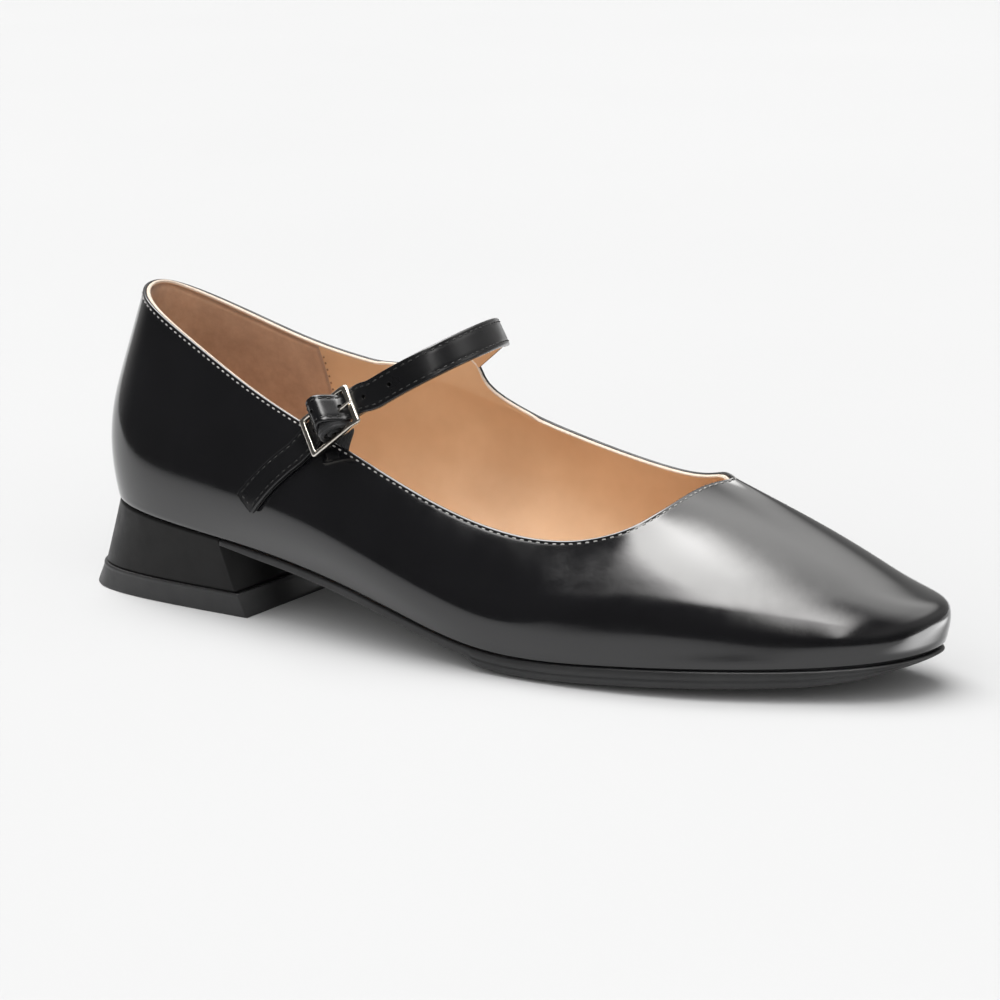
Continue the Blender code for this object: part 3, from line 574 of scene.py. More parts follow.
def polished_leather(name, tint=(0.0036, 0.0036, 0.0042), rough=0.14, coat=0.6, coat_rough=0.07, shine=0.5):
    """Black box leather: an even glaze over a very fine grain."""
    n = Nodes(name)
    n.set(Specular_IOR_Level=shine)
    cloud = n.noise(38, 3, 0.55)
    light = tuple(c * 1.5 for c in tint)
    n.colour(n.ramp(cloud, (0.3, tint), (0.7, light)))
    n.rough(n.range(n.noise(160, 3, 0.6), rough - 0.03, rough + 0.04, 0.3, 0.7))
    n.set(Coat_Weight=coat, Coat_Roughness=coat_rough, Coat_IOR=1.5, IOR=1.5)
    n.bump(n.voronoi(1500), 0.00002, 0.25)
    n.bump(n.noise(420, 2, 0.5), 0.00004, 0.3)
    n.bump(n.noise(45, 2, 0.5), 0.0006, 0.10)
    return n.mat


def lining_leather(name, dark=(0.40, 0.185, 0.078), light=(0.60, 0.30, 0.135), rough=0.55):
    n = Nodes(name)
    cloud = n.noise(26, 4, 0.6)
    n.colour(n.ramp(cloud, (0.25, dark), (0.75, light)))
    n.rough(n.range(n.noise(300, 2, 0.5), rough - 0.06, rough + 0.08, 0.3, 0.7))
    n.set(Coat_Weight=0.05, Coat_Roughness=0.4, Sheen_Weight=0.05, Sheen_Roughness=0.5)
    n.bump(n.voronoi(1100), 0.00003, 0.35)
    n.bump(n.noise(500, 3, 0.6), 0.00005, 0.35)
    n.bump(n.noise(60, 2, 0.5), 0.0005, 0.12)
    return n.mat


def suede(name, dark, light):
    n = Nodes(name)
    n.colour(n.ramp(n.noise(120, 6, 0.7), (0.3, dark), (0.7, light)))
    n.rough(n.range(n.noise(600, 2, 0.5), 0.82, 0.95, 0.3, 0.7))
    n.set(Sheen_Weight=0.25, Sheen_Roughness=0.5)
    n.bump(n.noise(2200, 3, 0.7), 0.00008, 0.6)
    return n.mat


def cut_edge(name, dark=(0.52, 0.38, 0.24), light=(0.80, 0.66, 0.48)):
    """Raw edge of the lining: pale fibres."""
    n = Nodes(name)
    n.colour(n.ramp(n.noise(900, 4, 0.7), (0.2, dark), (0.8, light)))
    n.rough(n.range(n.noise(700, 2, 0.5), 0.6, 0.8, 0.3, 0.7))
    n.bump(n.noise(3000, 3, 0.7), 0.00005, 0.5)
    return n.mat


def thread(name, dark=(0.17, 0.165, 0.16), light=(0.40, 0.39, 0.375), sheen=0.1):
    n = Nodes(name)
    n.colour(n.ramp(n.noise(1500, 3, 0.6), (0.25, dark), (0.75, light)))
    n.rough(n.range(n.noise(1800, 2, 0.5), 0.45, 0.65, 0.3, 0.7))
    n.bump(n.noise(2600, 2, 0.6, stretch=(1, 1, 2.5)), 0.00006, 0.7)
    n.set(Sheen_Weight=sheen, Sheen_Roughness=0.4)
    return n.mat


def rubber(name, tint=(0.014, 0.014, 0.0145), rough=0.42, grain=700, shine=0.5):
    n = Nodes(name)
    n.set(Specular_IOR_Level=shine)
    n.colour(n.ramp(n.noise(60, 4, 0.6), (0.3, tint), (0.7, tuple(c * 1.6 for c in tint))))
    n.rough(n.range(n.noise(220, 4, 0.6), rough - 0.05, rough + 0.09, 0.3, 0.7))
    n.bump(n.noise(grain, 3, 0.6), 0.00006, 0.3)
    return n.mat


def metal(name, dark=(0.62, 0.57, 0.50), light=(0.84, 0.80, 0.74), rough=0.16):
    n = Nodes(name)
    n.colour(n.ramp(n.noise(300, 3, 0.6), (0.3, dark), (0.7, light)))
    n.rough(n.range(n.noise(900, 3, 0.6), rough - 0.05, rough + 0.10, 0.35, 0.7))
    n.set(Metallic=1.0)
    n.bump(n.noise(1600, 2, 0.5), 0.00002, 0.2)
    return n.mat


def webbing(name):
    n = Nodes(name)
    n.colour(n.ramp(n.noise(1800, 3, 0.6), (0.3, (0.006, 0.006, 0.0065)), (0.75, (0.03, 0.03, 0.032))))
    n.rough(n.range(n.noise(900, 2, 0.5), 0.65, 0.85, 0.3, 0.7))
    n.set(Sheen_Weight=0.3, Sheen_Roughness=0.4)
    n.bump(n.noise(2400, 2, 0.6), 0.00012, 0.6)
    return n.mat


# ---------------------------------------------------------------- upper
EDGE_RADIUS = 0.32 * MM
STITCH_DOWN = 1.05 * MM      # stitching below the cut edge
STITCH_PITCH = 2.2 * MM
LINING_PROUD = 0.5 * MM      # how far the lining's pale edge stands above the leather's
COLUMNS = 560


def round_positions():
    """Section positions round the shoe, closer at the tab, heel and toe, about even along the topline."""
    u = np.linspace(0, 22, 8801)
    edge = face_point(u, 0.0)
    foot = skin(u, np.zeros_like(u))
    step = np.linalg.norm(np.diff(edge, axis=0), axis=1) + 0.7 * np.linalg.norm(np.diff(foot, axis=0), axis=1)
    middle = (u[1:] + u[:-1]) / 2
    step *= 1 + 1.6 * np.exp(-((middle - TAB_SECTION) / 0.35) ** 2)
    total = np.concatenate([[0], np.cumsum(step)])
    return np.interp(np.linspace(0, total[-1], COLUMNS + 1), total, u)[:-1]


def upper_grid():
    """Grid of the outer face from the feather up: even shares at first, then fixed distances below the edge."""
    near = np.array([5.4, 4.4, 3.5, 2.8, 2.25, 1.85, 1.55, 1.35, 1.2, 1.08, 0.97, 0.86, 0.74, 0.6, 0.45, 0.3, 0.16]) * MM
    u = round_positions()
    wall = Wall(u)
    share = np.linspace(0, 1, 60) ** 0.92
    down = [(1 - f) * wall.high + f * near[0] for f in share] + [np.full(len(u), d) for d in near[1:]]
    points = np.stack([wall.at(d) for d in down], 1)
    down = np.stack(down, 1)
    normal = grid_normals(points, True)
    if np.sum(normal * (points - points.reshape(-1, 3).mean(0))) < 0:
        normal = -normal
    return u, points, normal, down, wall


def relief(down):
    """How far the leather stands in or out of the plain skin near the edge: seam trough and folded edge."""
    seam = -0.02 * MM * np.exp(-((down - STITCH_DOWN) / (0.30 * MM)) ** 2)
    fold = 0.10 * MM * np.exp(-((down - 0.45 * MM) / (0.36 * MM)) ** 2)
    return seam + fold


def edge_rings(top, normal, up, radius, thick, steps=5):
    """Rounded cut edge: rings from the outer face over to the inner one."""
    rings = []
    for k in range(1, steps + 1):
        a = pi / 2 * k / steps
        rings.append(top - normal * radius * (1 - cos(a)) + up * radius * sin(a))
    for k in range(1, steps + 1):
        a = pi / 2 * k / steps
        rings.append(top - normal * (thick - radius + radius * sin(a)) + up * radius * cos(a))
    return rings


def shell(outer, normal, thick, radius, bottom_normal=None):
    """Outer face and rounded cut edge from the outer grid: columns x rows. Returns the ring list from the outer feather
    over the edge to the inner face, and the edge's up directions.
    """
    up = unit(outer[:, -1] - outer[:, -3])
    side = normal[:, -1]
    rings = [outer[:, k] for k in range(outer.shape[1])]
    rings += edge_rings(outer[:, -1], side, up, radius, thick)
    return rings, up


def ring_mesh(rings, closed_section=True):
    """Verts and quads of a stack of rings round the shoe, joined last to first."""
    verts = np.concatenate(rings)
    n = len(rings)
    faces = sweep_faces(n, len(rings[0]), closed_section)
    return verts, faces


def build_upper(mats):
    u, points, normal, down, wall = upper_grid()
    pad = relief(down)
    outer = points + normal * pad[..., None]
    # the leather turns under at the feather
    under = np.clip(1 - (wall.high[:, None] - down) / (1.3 * MM), 0, 1)
    outer = outer - normal * (0.55 * MM * (1 - np.sqrt(1 - under**2)))[..., None]
    rings, up = shell(outer, normal, LEATHER, EDGE_RADIUS)
    last = outer.shape[1] - 1
    rings += [points[:, k] - normal[:, k] * LEATHER for k in [*range(last - 1, last - 16, -3), *range(last - 18, 0, -4), 0]]
    verts, faces = ring_mesh(rings)
    count = len(u)
    row_of = np.repeat(np.arange(len(rings)), count)[: len(faces)]
    which = ((row_of >= last + 4) & (row_of < last + 11)).astype(int)
    piece("upper_leather", verts, faces, [mats["leather"], mats["edge_black"]], which, stands_for=("upper",))
    # the lining's pale cut edge stands a little above the leather's
    base = points - normal * (LEATHER + 0.02 * MM)
    rings = [base[:, k] for k in [*range(0, last - 3, 5), last]]
    rings.append(base[:, last] + up * (LINING_PROUD * 0.5))
    first = len(rings) - 2
    top = base[:, last] + up * (LINING_PROUD - 0.3 * MM)
    rings += edge_rings(top, normal[:, -1], up, 0.34 * MM, LINING)
    edge_count = len(rings)
    inner = points - normal * (LEATHER + LINING - 0.5 * pad)[..., None]
    rings += [inner[:, k] for k in range(last - 1, -1, -1)]
    verts, faces = ring_mesh(rings)
    row_of = np.repeat(np.arange(len(rings)), count)[: len(faces)]
    which = ((row_of >= first) & (row_of < edge_count)).astype(int)
    piece("lining", verts, faces, [mats["tan"], mats["cream"]], which)


def stitch_mesh(centre, along, out, length, radius, around=8, rings=7):
    """One stitch: a short arc of thread that dives at both ends."""
    t = np.linspace(-1, 1, rings)
    across = np.cross(along, out)
    angle = np.linspace(0, 2 * pi, around, endpoint=False)
    thick = radius * np.sqrt(np.clip(1 - np.abs(t) ** 3.2, 0.02, 1))
    path = centre + np.outer(t * length / 2, along) + np.outer(radius * 0.55 - radius * 1.5 * t**4, out)
    verts = (path[:, None] + np.cos(angle)[None, :, None] * across * thick[:, None, None] * 1.15
             + np.sin(angle)[None, :, None] * out * thick[:, None, None] * 0.85)
    faces = sweep_faces(rings, around, False).tolist()
    faces.append(list(range(around))[::-1])
    faces.append(list(range((rings - 1) * around, rings * around)))
    return verts.reshape(-1, 3), faces


def stitch_row(path, out, pitch, length, radius, start=0.5):
    """Stitches laid along a path (dense points with outward directions)."""
    step = np.linalg.norm(np.diff(path, axis=0), axis=1)
    total = np.concatenate([[0], np.cumsum(step)])
    count = max(1, int(round(total[-1] / pitch)))
    real = total[-1] / count
    parts = []
    for k in range(count):
        s = (k + start) * real
        if s > total[-1] - length * 0.4:
            continue
        centre, along, normal = between(path, out, s, total)
        parts.append(stitch_mesh(centre, along, normal, length, radius))
    return parts


def needle_hole(centre, along, out, radius):
    """A punched needle hole: a dark dimple with a slightly raised rim."""
    across = np.cross(along, out)
    around = 8
    angle = np.linspace(0, 2 * pi, around, endpoint=False)
    rings = []
    for size, level in ((1.25, -0.06), (1.0, 0.05), (0.75, 0.03), (0.4, -0.04)):
        rings.append(centre + (np.outer(np.cos(angle), along) + np.outer(np.sin(angle), across)) * radius * size + out * level * MM)
    verts = np.concatenate(rings + [[centre - out * 0.06 * MM], [centre - out * 0.12 * MM]])
    faces = sweep_faces(len(rings), around, False).tolist()
    inner, below = len(verts) - 2, len(verts) - 1
    for k in range(around):
        m = (k + 1) % around
        faces.append([inner, 3 * around + k, 3 * around + m])
        faces.append([below, m, k])
    return verts, faces


def between(path, out, s, total):
    at = np.array([np.interp(s, total, path[:, i]) for i in range(3)])
    ahead = np.array([np.interp(s + 0.3 * MM, total, path[:, i]) for i in range(3)])
    behind = np.array([np.interp(s - 0.3 * MM, total, path[:, i]) for i in range(3)])
    along = unit((ahead - behind)[None])[0]
    normal = np.array([np.interp(s, total, out[:, i]) for i in range(3)])
    normal = unit((normal - np.dot(normal, along) * along)[None])[0]
    return at, along, normal


def needle_holes(path, out, pitch, radius):
    """Holes half-way between the stitches of a row."""
    total = np.concatenate([[0], np.cumsum(np.linalg.norm(np.diff(path, axis=0), axis=1))])
    count = max(1, int(round(total[-1] / pitch)))
    real = total[-1] / count
    return [needle_hole(*between(path, out, k * real, total), radius) for k in range(1, count)]


def build_topline_stitching(mats):
    u = np.linspace(0, 22, 4401)
    wall = Wall(u)
    at = wall.at(STITCH_DOWN)
    edge = wall.at(STITCH_DOWN - 0.4 * MM)
    low = wall.at(STITCH_DOWN + 0.4 * MM)
    along = unit(np.gradient(at, axis=0))
    normal = unit(np.cross(along, edge - low))
    if np.sum(normal * (at - at.mean(0))) < 0:
        normal = -normal
    # the strap's seam lies across the top of the tab, so the row stops below it on both sides
    inside = (np.abs(u - TAB_SECTION) < 2.5) & (wall.rise > 8.6 * MM)
    first, last = np.where(inside)[0][[0, -1]]
    path = np.concatenate([at[last:-1], at[:first]])
    out = np.concatenate([normal[last:-1], normal[:first]])
    path = path - out * 0.05 * MM
    verts, faces = merged(stitch_row(path, out, STITCH_PITCH, 1.3 * MM, 0.18 * MM))
    piece("topline_stitching", verts, faces, [mats["thread"]])
    verts, faces = merged(needle_holes(path, out, STITCH_PITCH, 0.24 * MM))
    piece("topline_needle_holes", verts, faces, [mats["hole"]])


# ---------------------------------------------------------------- insole and heel grip
def inset_plan(points, by):
    moved = points.copy()
    moved[:, :2] -= plan_normals(points[:, :2]) * by
    return moved


def build_insole(mats):
    """Sock: a thin dished sheet over its board, from ribs across the foot bed."""
    half = 150
    lateral = np.linspace(0, 11, half + 1)
    u_lat, u_med = lateral, 22 - lateral
    wall = (LEATHER + LINING + 0.05 * MM)
    full = np.concatenate([u_lat, u_med[::-1][1:-1]])
    ring = inset_plan(skin(full, np.zeros_like(full)), wall)
    a = ring[: half + 1]
    b = np.concatenate([ring[:1], ring[half + 1:][::-1], ring[half: half + 1]])
    steps = 26
    f = np.linspace(0, 1, steps + 1)
    rows = a[:, None] * (1 - f)[None, :, None] + b[:, None] * f[None, :, None]
    share = np.sin(pi * f)[None]
    wide = np.linalg.norm(b - a, axis=1)[:, None]
    top = rows.copy()
    dish = 1.0 * MM * share**0.7 * np.clip(wide / (40 * MM), 0, 1)
    edge_curl = 0.5 * MM * np.exp(-(np.minimum(f, 1 - f)[None] * wide / (2.2 * MM)) ** 2)
    top[..., 2] += 2.55 * MM - dish + edge_curl
    bottom = rows.copy()
    bottom[..., 2] += 0.2 * MM
    n, m = half + 1, steps + 1
    verts = np.concatenate([top.reshape(-1, 3), bottom.reshape(-1, 3)])
    faces = []
    idx = np.arange(n * m).reshape(n, m)
    quad = np.stack([idx[:-1, :-1], idx[:-1, 1:], idx[1:, 1:], idx[1:, :-1]], -1).reshape(-1, 4)
    faces += quad.tolist()
    faces += (quad[:, ::-1] + n * m).tolist()
    border = np.concatenate([idx[:-1, 0], idx[-1, :-1], idx[::-1, -1][:-1], idx[0, ::-1][:-1]])
    nxt = np.roll(border, -1)
    faces += np.stack([nxt, border, border + n * m, nxt + n * m], 1).tolist()
    made = piece("sock", verts, faces, [mats["sock"]], stands_for=("insole",))
    weld(made)


def weld(obj, distance=1e-6):
    import bmesh
    bm = bmesh.new()
    bm.from_mesh(obj.data)
    bmesh.ops.remove_doubles(bm, verts=bm.verts, dist=distance)
    bmesh.ops.dissolve_degenerate(bm, edges=bm.edges, dist=distance)
    bmesh.ops.recalc_face_normals(bm, faces=bm.faces)
    bm.to_mesh(obj.data)
    bm.free()
    obj.data.update()


def build_heel_grip(mats):
    """Darker grip round the inside of the heel, stitched down at its front edges."""
    wall = LEATHER + LINING
    u_front_lat, u_front_med = 2.85, 19.24
    u = np.concatenate([np.linspace(u_front_med, 22, 60)[:-1], np.linspace(0, u_front_lat, 60)])
    share = np.linspace(0, 1, 44)
    face_of = Wall(u)
    high = face_of.high
    down = (1 - share)[:, None] * (high[None] - 3.2 * MM) + share[:, None] * 0.5 * MM
    points = np.stack([face_of.at(d) for d in down], 1)
    normal = grid_normals(points, False)
    if np.sum(normal * (points - points.reshape(-1, 3).mean(0))) < 0:
        normal = -normal
    out = points - normal * (wall - 0.1 * MM)
    thick = 0.42 * MM
    # its rim thins to nothing at the border
    step = np.linalg.norm(np.diff(points[:, 20], axis=0), axis=1)
    along = np.concatenate([[0], np.cumsum(step)])
    from_side = np.minimum(along, along[-1] - along)[:, None]
    from_end = np.minimum((1 - share), 1)[None] * 60 * MM
    rim = np.minimum(from_side, from_end)
    proud = thick * np.sqrt(np.clip(1 - (1 - np.clip(rim / (0.5 * MM), 0, 1)) ** 2, 0, 1))
    face = points - normal * (wall + proud[..., None])
    verts = np.concatenate([out.reshape(-1, 3), face.reshape(-1, 3)])
    n, m = len(u), len(share)
    idx = np.arange(n * m).reshape(n, m)
    quad = np.stack([idx[:-1, :-1], idx[:-1, 1:], idx[1:, 1:], idx[1:, :-1]], -1).reshape(-1, 4)
    faces = quad.tolist() + (quad[:, ::-1] + n * m).tolist()
    border = np.concatenate([idx[:-1, 0], idx[-1, :-1], idx[::-1, -1][:-1], idx[0, ::-1][:-1]])
    nxt = np.roll(border, -1)
    faces += np.stack([nxt, border, border + n * m, nxt + n * m], 1).tolist()
    piece("heel_grip", verts, faces, [mats["grip"]])
    parts = []
    # a row of stitches in the lining just in front of each end of the grip
    for front, turn in ((u_front_lat, 1), (u_front_med, -1)):
        row_u = np.full(60, front + turn * 0.021)
        high = Wall(row_u[:1]).high[0]
        row = np.stack([Wall([v]).at(d)[0] for v, d in zip(row_u, np.linspace(2.5 * MM, high - 6 * MM, 60))])
        inward = -wall_normal(row_u, np.linspace(2.5 * MM, high - 6 * MM, 60))
        row = row + inward * (wall + 0.0 * MM)
        parts += stitch_row(row, inward, 2.1 * MM, 0.75 * MM, 0.26 * MM)
    verts, faces = merged(parts)
    piece("heel_grip_stitching", verts, faces, [mats["thread_tan"]])


# ---------------------------------------------------------------- strap
HOLES = (-16.0, -8.0, 0.0, 8.0, 16.0)      # mm along the strap from the prong's hole
TOP_LAYER = 1.32 * MM
OVERLAP = 2.4 * MM
STRAP_LEAN, STRAP_AHEAD = 13.0, 1.0 * MM    # degrees, and how far it sits towards the toe
STRAP_LEAN_FROM, STRAP_LEAN_TO = 8.0 * MM, 13.0 * MM    # from the buckle's middle along it, to this far across the shoe
DOME = 5.2 * MM             # how far the strap's outer face really bulges over the centre bar and its elastic


def quarter_places(points, clearance):
    """The same points laid at this clearance outside the lateral quarter, and its normals there."""
    uu, vv = np.meshgrid(np.linspace(0.5, 6.5, 361), np.linspace(0.02, 1, 121), indexing="ij")
    grid = skin(uu, vv)
    normal = unit(np.cross(np.gradient(grid, axis=0), np.gradient(grid, axis=1)))
    normal = np.where(normal[..., 1:2] > 0, -normal, normal)
    flat, facing = grid.reshape(-1, 3), normal.reshape(-1, 3)
    nearest = np.array([np.argmin(np.sum((flat - p) ** 2, axis=1)) for p in points])
    base, out = flat[nearest], facing[nearest]
    kernel = np.hanning(13) / np.hanning(13).sum()
    out = unit(np.stack([np.convolve(np.pad(out[:, i], 6, mode="edge"), kernel, "valid") for i in range(3)], 1))
    level = np.sum((points - base) * out, axis=1)
    return points + out * (clearance - level)[:, None], out


def buckle_axes():
    a = np.array(BUCKLE_ALONG)
    a = a / np.linalg.norm(a)
    b = np.array(BUCKLE_ACROSS) - np.dot(BUCKLE_ACROSS, a) * a
    b = b / np.linalg.norm(b)
    n = np.cross(a, b)
    return np.array(BUCKLE_CENTRE) * MM, a, b, (n if n[1] < 0 else -n)


def strap_frame(count=420):
    """Middle of the strap's outer face with its directions, woven through the buckle."""
    table = np.array([row[1:] for row in STRAP], float)
    weights = clamped_basis(len(STRAP), np.linspace(0, 1, count))
    middle = weights @ table[:, :3] * MM
    across = weights @ table[:, 3:]
    along = unit(np.gradient(middle, axis=0))
    across = unit(across - np.sum(across * along, axis=1)[:, None] * along)
    normal = np.cross(across, along)
    if normal[count // 2, 2] < 0:
        normal = -normal
    # the tail runs on a little past the path
    more = np.arange(1, 5) * 0.2 * MM
    middle = np.concatenate([middle, middle[-1] + np.outer(more, along[-1])])
    across, normal = (np.concatenate([rows, np.repeat(rows[-1:], len(more), 0)]) for rows in (across, normal))
    centre, a, b, n = buckle_axes()
    place = (middle - centre) @ a
    arch = np.exp(-(np.abs(place) / (4.4 * MM)) ** 2.5)
    low = BUCKLE_DEEP / 2 + GAP * 0.4
    near = np.exp(-(place / (13 * MM)) ** 8) * (middle[:, 1] < 0)
    level = (middle - centre) @ n
    target = -low + arch * (DOME + low)
    off = (middle - centre) @ b - (0.6 + 1.9 * arch) * MM
    middle = middle + n * ((target - level) * near)[:, None] - b * (off * near)[:, None]
    across = across * (1 - near)[:, None] + np.sign(across @ b)[:, None] * b * near[:, None]
    laid, quarter = quarter_places(middle, STRAP_THICK + 0.25 * MM)
    rest = smooth_step((-place - 9.5 * MM) / (5 * MM))[:, None]
    middle = middle * (1 - rest) + laid * rest
    across = across - np.sum(across * quarter, axis=1)[:, None] * quarter * rest
    # even spacing along the finished path
    step = np.concatenate([[0], np.cumsum(np.linalg.norm(np.diff(middle, axis=0), axis=1))])
    even = np.linspace(0, step[-1], count)
    middle = np.stack([np.interp(even, step, middle[:, i]) for i in range(3)], 1)
    across = np.stack([np.interp(even, step, across[:, i]) for i in range(3)], 1)
    normal = np.stack([np.interp(even, step, normal[:, i]) for i in range(3)], 1)
    along = unit(np.gradient(middle, axis=0))
    across = unit(across - np.sum(across * along, axis=1)[:, None] * along)
    turned = np.cross(across, along)
    normal = turned * np.sign(np.sum(turned * normal, axis=1))[:, None]
    # past the buckle the strap leans towards the toe and is a little wider
    place = (middle - centre) @ a
    past = smooth_step((place - STRAP_LEAN_FROM) / (9 * MM)) * (1 - smooth_step((middle[:, 1] - STRAP_LEAN_TO) / (9 * MM)))
    ahead = across * np.sign(across[:, 0])[:, None]
    lean = (radians(STRAP_LEAN) * past)[:, None]
    middle = middle + ahead * (STRAP_AHEAD * past)[:, None]
    across, normal = (across * np.cos(lean) - normal * np.sin(lean) * np.sign(across[:, :1]), normal * np.cos(lean) + ahead * np.sin(lean))
    wide = smooth_step((place + 12 * MM) / (4 * MM)) * (1 - smooth_step((middle[:, 1] - STRAP_LEAN_TO) / (9 * MM)))
    across = across * (1 + 0.07 * wide)[:, None]
    return middle, along, across, normal, even


def strap_section(width, low, high, rounding, dent, count=21):
    """Closed section as (across, level) rows, top first: dent is the stitch trough's depth."""
    half = width / 2
    across = np.linspace(-half + rounding, half - rounding, count)
    seam = half - 1.15 * MM
    level = high - dent * (np.exp(-((np.abs(across) - seam) / (0.38 * MM)) ** 2)) + 0.05 * MM * (1 - (across / half) ** 2)
    rows = list(zip(across, level))
    for k in range(1, 5):
        a = pi / 2 * k / 4
        rows.append((half - rounding + rounding * sin(a), high - rounding + rounding * cos(a)))
    small = min(rounding, (high - low) / 2) * 0.5
    for k in range(0, 4):
        a = pi / 2 * k / 3
        rows.append((half - small + small * cos(a), low + small - small * sin(a)))
    for x in np.linspace(half - small, -half + small, 9)[1:]:
        rows.append((x, low))
    for k in range(1, 4):
        a = pi / 2 * k / 3
        rows.append((-half + small - small * sin(a), low + small - small * cos(a)))
    for k in range(0, 4):
        a = pi / 2 * k / 4
        rows.append((-half + rounding - rounding * cos(a), high - rounding + rounding * sin(a)))
    return np.array(rows)


def strap_layer(middle, along, across, normal, place, section, first, last, lift=0.0, corner=0.55 * MM):
    """One layer of the strap from its section, between two places; its far end has rounded corners."""
    keep = [i for i in range(len(place)) if first <= place[i] <= last]
    rings = []
    total = place[keep[-1]]
    for i in keep:
        left = total - place[i]
        narrow = 0.0
        if left < corner:
            narrow = corner - sqrt(max(0.0, corner**2 - (corner - left) ** 2))
        half = section[:, 0].max()
        across_of = section[:, 0] * (1 - narrow / half)
        up = lift[i] if np.ndim(lift) else lift
        rings.append(middle[i] + np.outer(across_of, across[i]) + np.outer(section[:, 1] + up, normal[i]))
    verts = np.concatenate(rings)
    m = len(section)
    faces = sweep_faces(len(rings), m, False).tolist()
    faces.append(list(range(m)))
    faces.append(list(range((len(rings) - 1) * m, len(rings) * m))[::-1])
    return verts, faces, len(rings)


def drill(obj, points, directions, radius, edge_mat):
    """Punched holes: an exact Boolean with short rods, whose faces take the edge's material."""
    import bmesh
    bm = bmesh.new()
    for point, direction in zip(points, directions):
        turn = Vector(direction).to_track_quat("Z", "Y").to_matrix().to_4x4()
        bmesh.ops.create_cone(bm, cap_ends=True, segments=20, radius1=radius, radius2=radius, depth=5 * MM,
                              matrix=Matrix.Translation(Vector(point + ORIGIN)) @ turn)
    mesh = bpy.data.meshes.new("rods")
    bm.to_mesh(mesh)
    bm.free()
    mesh.materials.append(edge_mat)
    rods = bpy.data.objects.new("rods", mesh)
    bpy.context.scene.collection.objects.link(rods)
    cut = obj.modifiers.new("holes", "BOOLEAN")
    cut.operation = "DIFFERENCE"
    cut.solver = "EXACT"
    cut.material_mode = "TRANSFER"
    cut.object = rods
    graph = bpy.context.evaluated_depsgraph_get()
    done = bpy.data.meshes.new_from_object(obj.evaluated_get(graph))
    obj.modifiers.remove(cut)
    obj.data = done
    bpy.data.objects.remove(rods, do_unlink=True)


def build_strap(mats):
    middle, along, across, normal, place = strap_frame()
    # the first stretch reaches back over the tab
    extra = 8
    back = np.linspace(-OVERLAP, 0, extra + 1)[:-1]
    middle = np.concatenate([middle[0] + back[:, None] * along[0], middle])
    along = np.concatenate([np.repeat(along[:1], extra, 0), along])
    across = np.concatenate([np.repeat(across[:1], extra, 0), across])
    normal = np.concatenate([np.repeat(normal[:1], extra, 0), normal])
    place = np.concatenate([back, place])
    lift = 0.92 * MM * (1 - smooth_step(place / (9 * MM)))
    end = place[-1]
    section = strap_section(STRAP_WIDTH, -TOP_LAYER, 0.0, 0.46 * MM, 0.10 * MM)
    verts, faces, rings = strap_layer(middle, along, across, normal, place, section, -OVERLAP, end, lift)
    centre, a, b, n = buckle_axes()
    on_a = (middle - centre) @ a
    # the rolled rims and the bend over the bar are glossier than the flat face
    kept = np.where((place >= -OVERLAP) & (place <= end))[0][:-1]
    bent = (np.abs(on_a[kept]) < 5 * MM) & (middle[kept, 1] < 0)
    side = np.tile(np.arange(len(section)), rings - 1)
    which = np.ones(len(faces), int)
    which[: len(side)] = np.where((side < 20) & ~np.repeat(bent, len(section)), 0, 1)
    top = piece("strap_leather", verts, faces, [mats["strap"], mats["strap_rim"]], which, stands_for=("strap",))
    prong_place = np.interp(-5.2 * MM, -on_a[middle[:, 1] < 0], place[middle[:, 1] < 0])
    spots = [i for i in (int(np.argmin(np.abs(place - (prong_place - h * MM)))) for h in HOLES)]
    holes = [(middle[i], normal[i]) for i in spots if place[i] < end - 3 * MM]
    section_b = strap_section(STRAP_WIDTH - 0.12 * MM, -STRAP_THICK, -TOP_LAYER - 0.01 * MM, 0.12 * MM, 0.0)
    verts, faces, rings = strap_layer(middle, along, across, normal, place, section_b, 0.5 * MM, end - 0.05 * MM, 0.0)
    count = len(section_b)
    which = np.zeros(len(faces), int)
    side = np.tile(np.arange(count), rings - 1)
    # faces beside the flat bottom are the pale cut edge
    bottom_from = 21 + 4 + 3
    bottom_to = bottom_from + 8
    which[: len(side)] = np.where((side >= bottom_from) & (side < bottom_to), 0, 1)
    which[len(side):] = 1
    # the face under the top layer is black, and inside the buckle and down the tail so is the whole thickness
    kept = np.where((place >= 0.5 * MM) & (place <= end - 0.05 * MM))[0][:-1]
    in_buckle = (on_a[kept] < 9.5 * MM) & (middle[kept, 1] < 0)
    which[: len(side)] = np.where(np.repeat(in_buckle, count) | (side < 20), 2, which[: len(side)])
    piece("strap_back", verts, faces, [mats["tan"], mats["strap_edge"], mats["strap"]], which)
    drill(top, [p for p, _ in holes], [d for _, d in holes], 0.62 * MM, mats["hole"])
    # stitching along both edges and across the tail
    parts = []
    inset = STRAP_WIDTH / 2 - 1.15 * MM
    stay = (place > -OVERLAP + 0.9 * MM) & (place < end - 1.3 * MM)
    surface = middle + normal * (lift[:, None] - 0.06 * MM)
    rows = []
    for sign in (-1, 1):
        rows.append((surface + across * inset * sign)[stay])
        parts += stitch_row(rows[-1], normal[stay], 2.2 * MM, 1.45 * MM, 0.16 * MM)
    last = np.where(stay)[0][-1]
    ends = np.linspace(-inset + 0.4 * MM, inset - 0.4 * MM, 24)
    parts += stitch_row(surface[last] + np.outer(ends, across[last]), np.repeat(normal[last][None], 24, 0), 2.0 * MM, 1.5 * MM, 0.19 * MM)
    first = np.where(stay)[0][0]
    parts += stitch_row(surface[first] + np.outer(ends, across[first]), np.repeat(normal[first][None], 24, 0), 2.0 * MM, 1.5 * MM, 0.2 * MM)
    verts, faces = merged(parts)
    piece("strap_stitching", verts, faces, [mats["thread_grey"]])


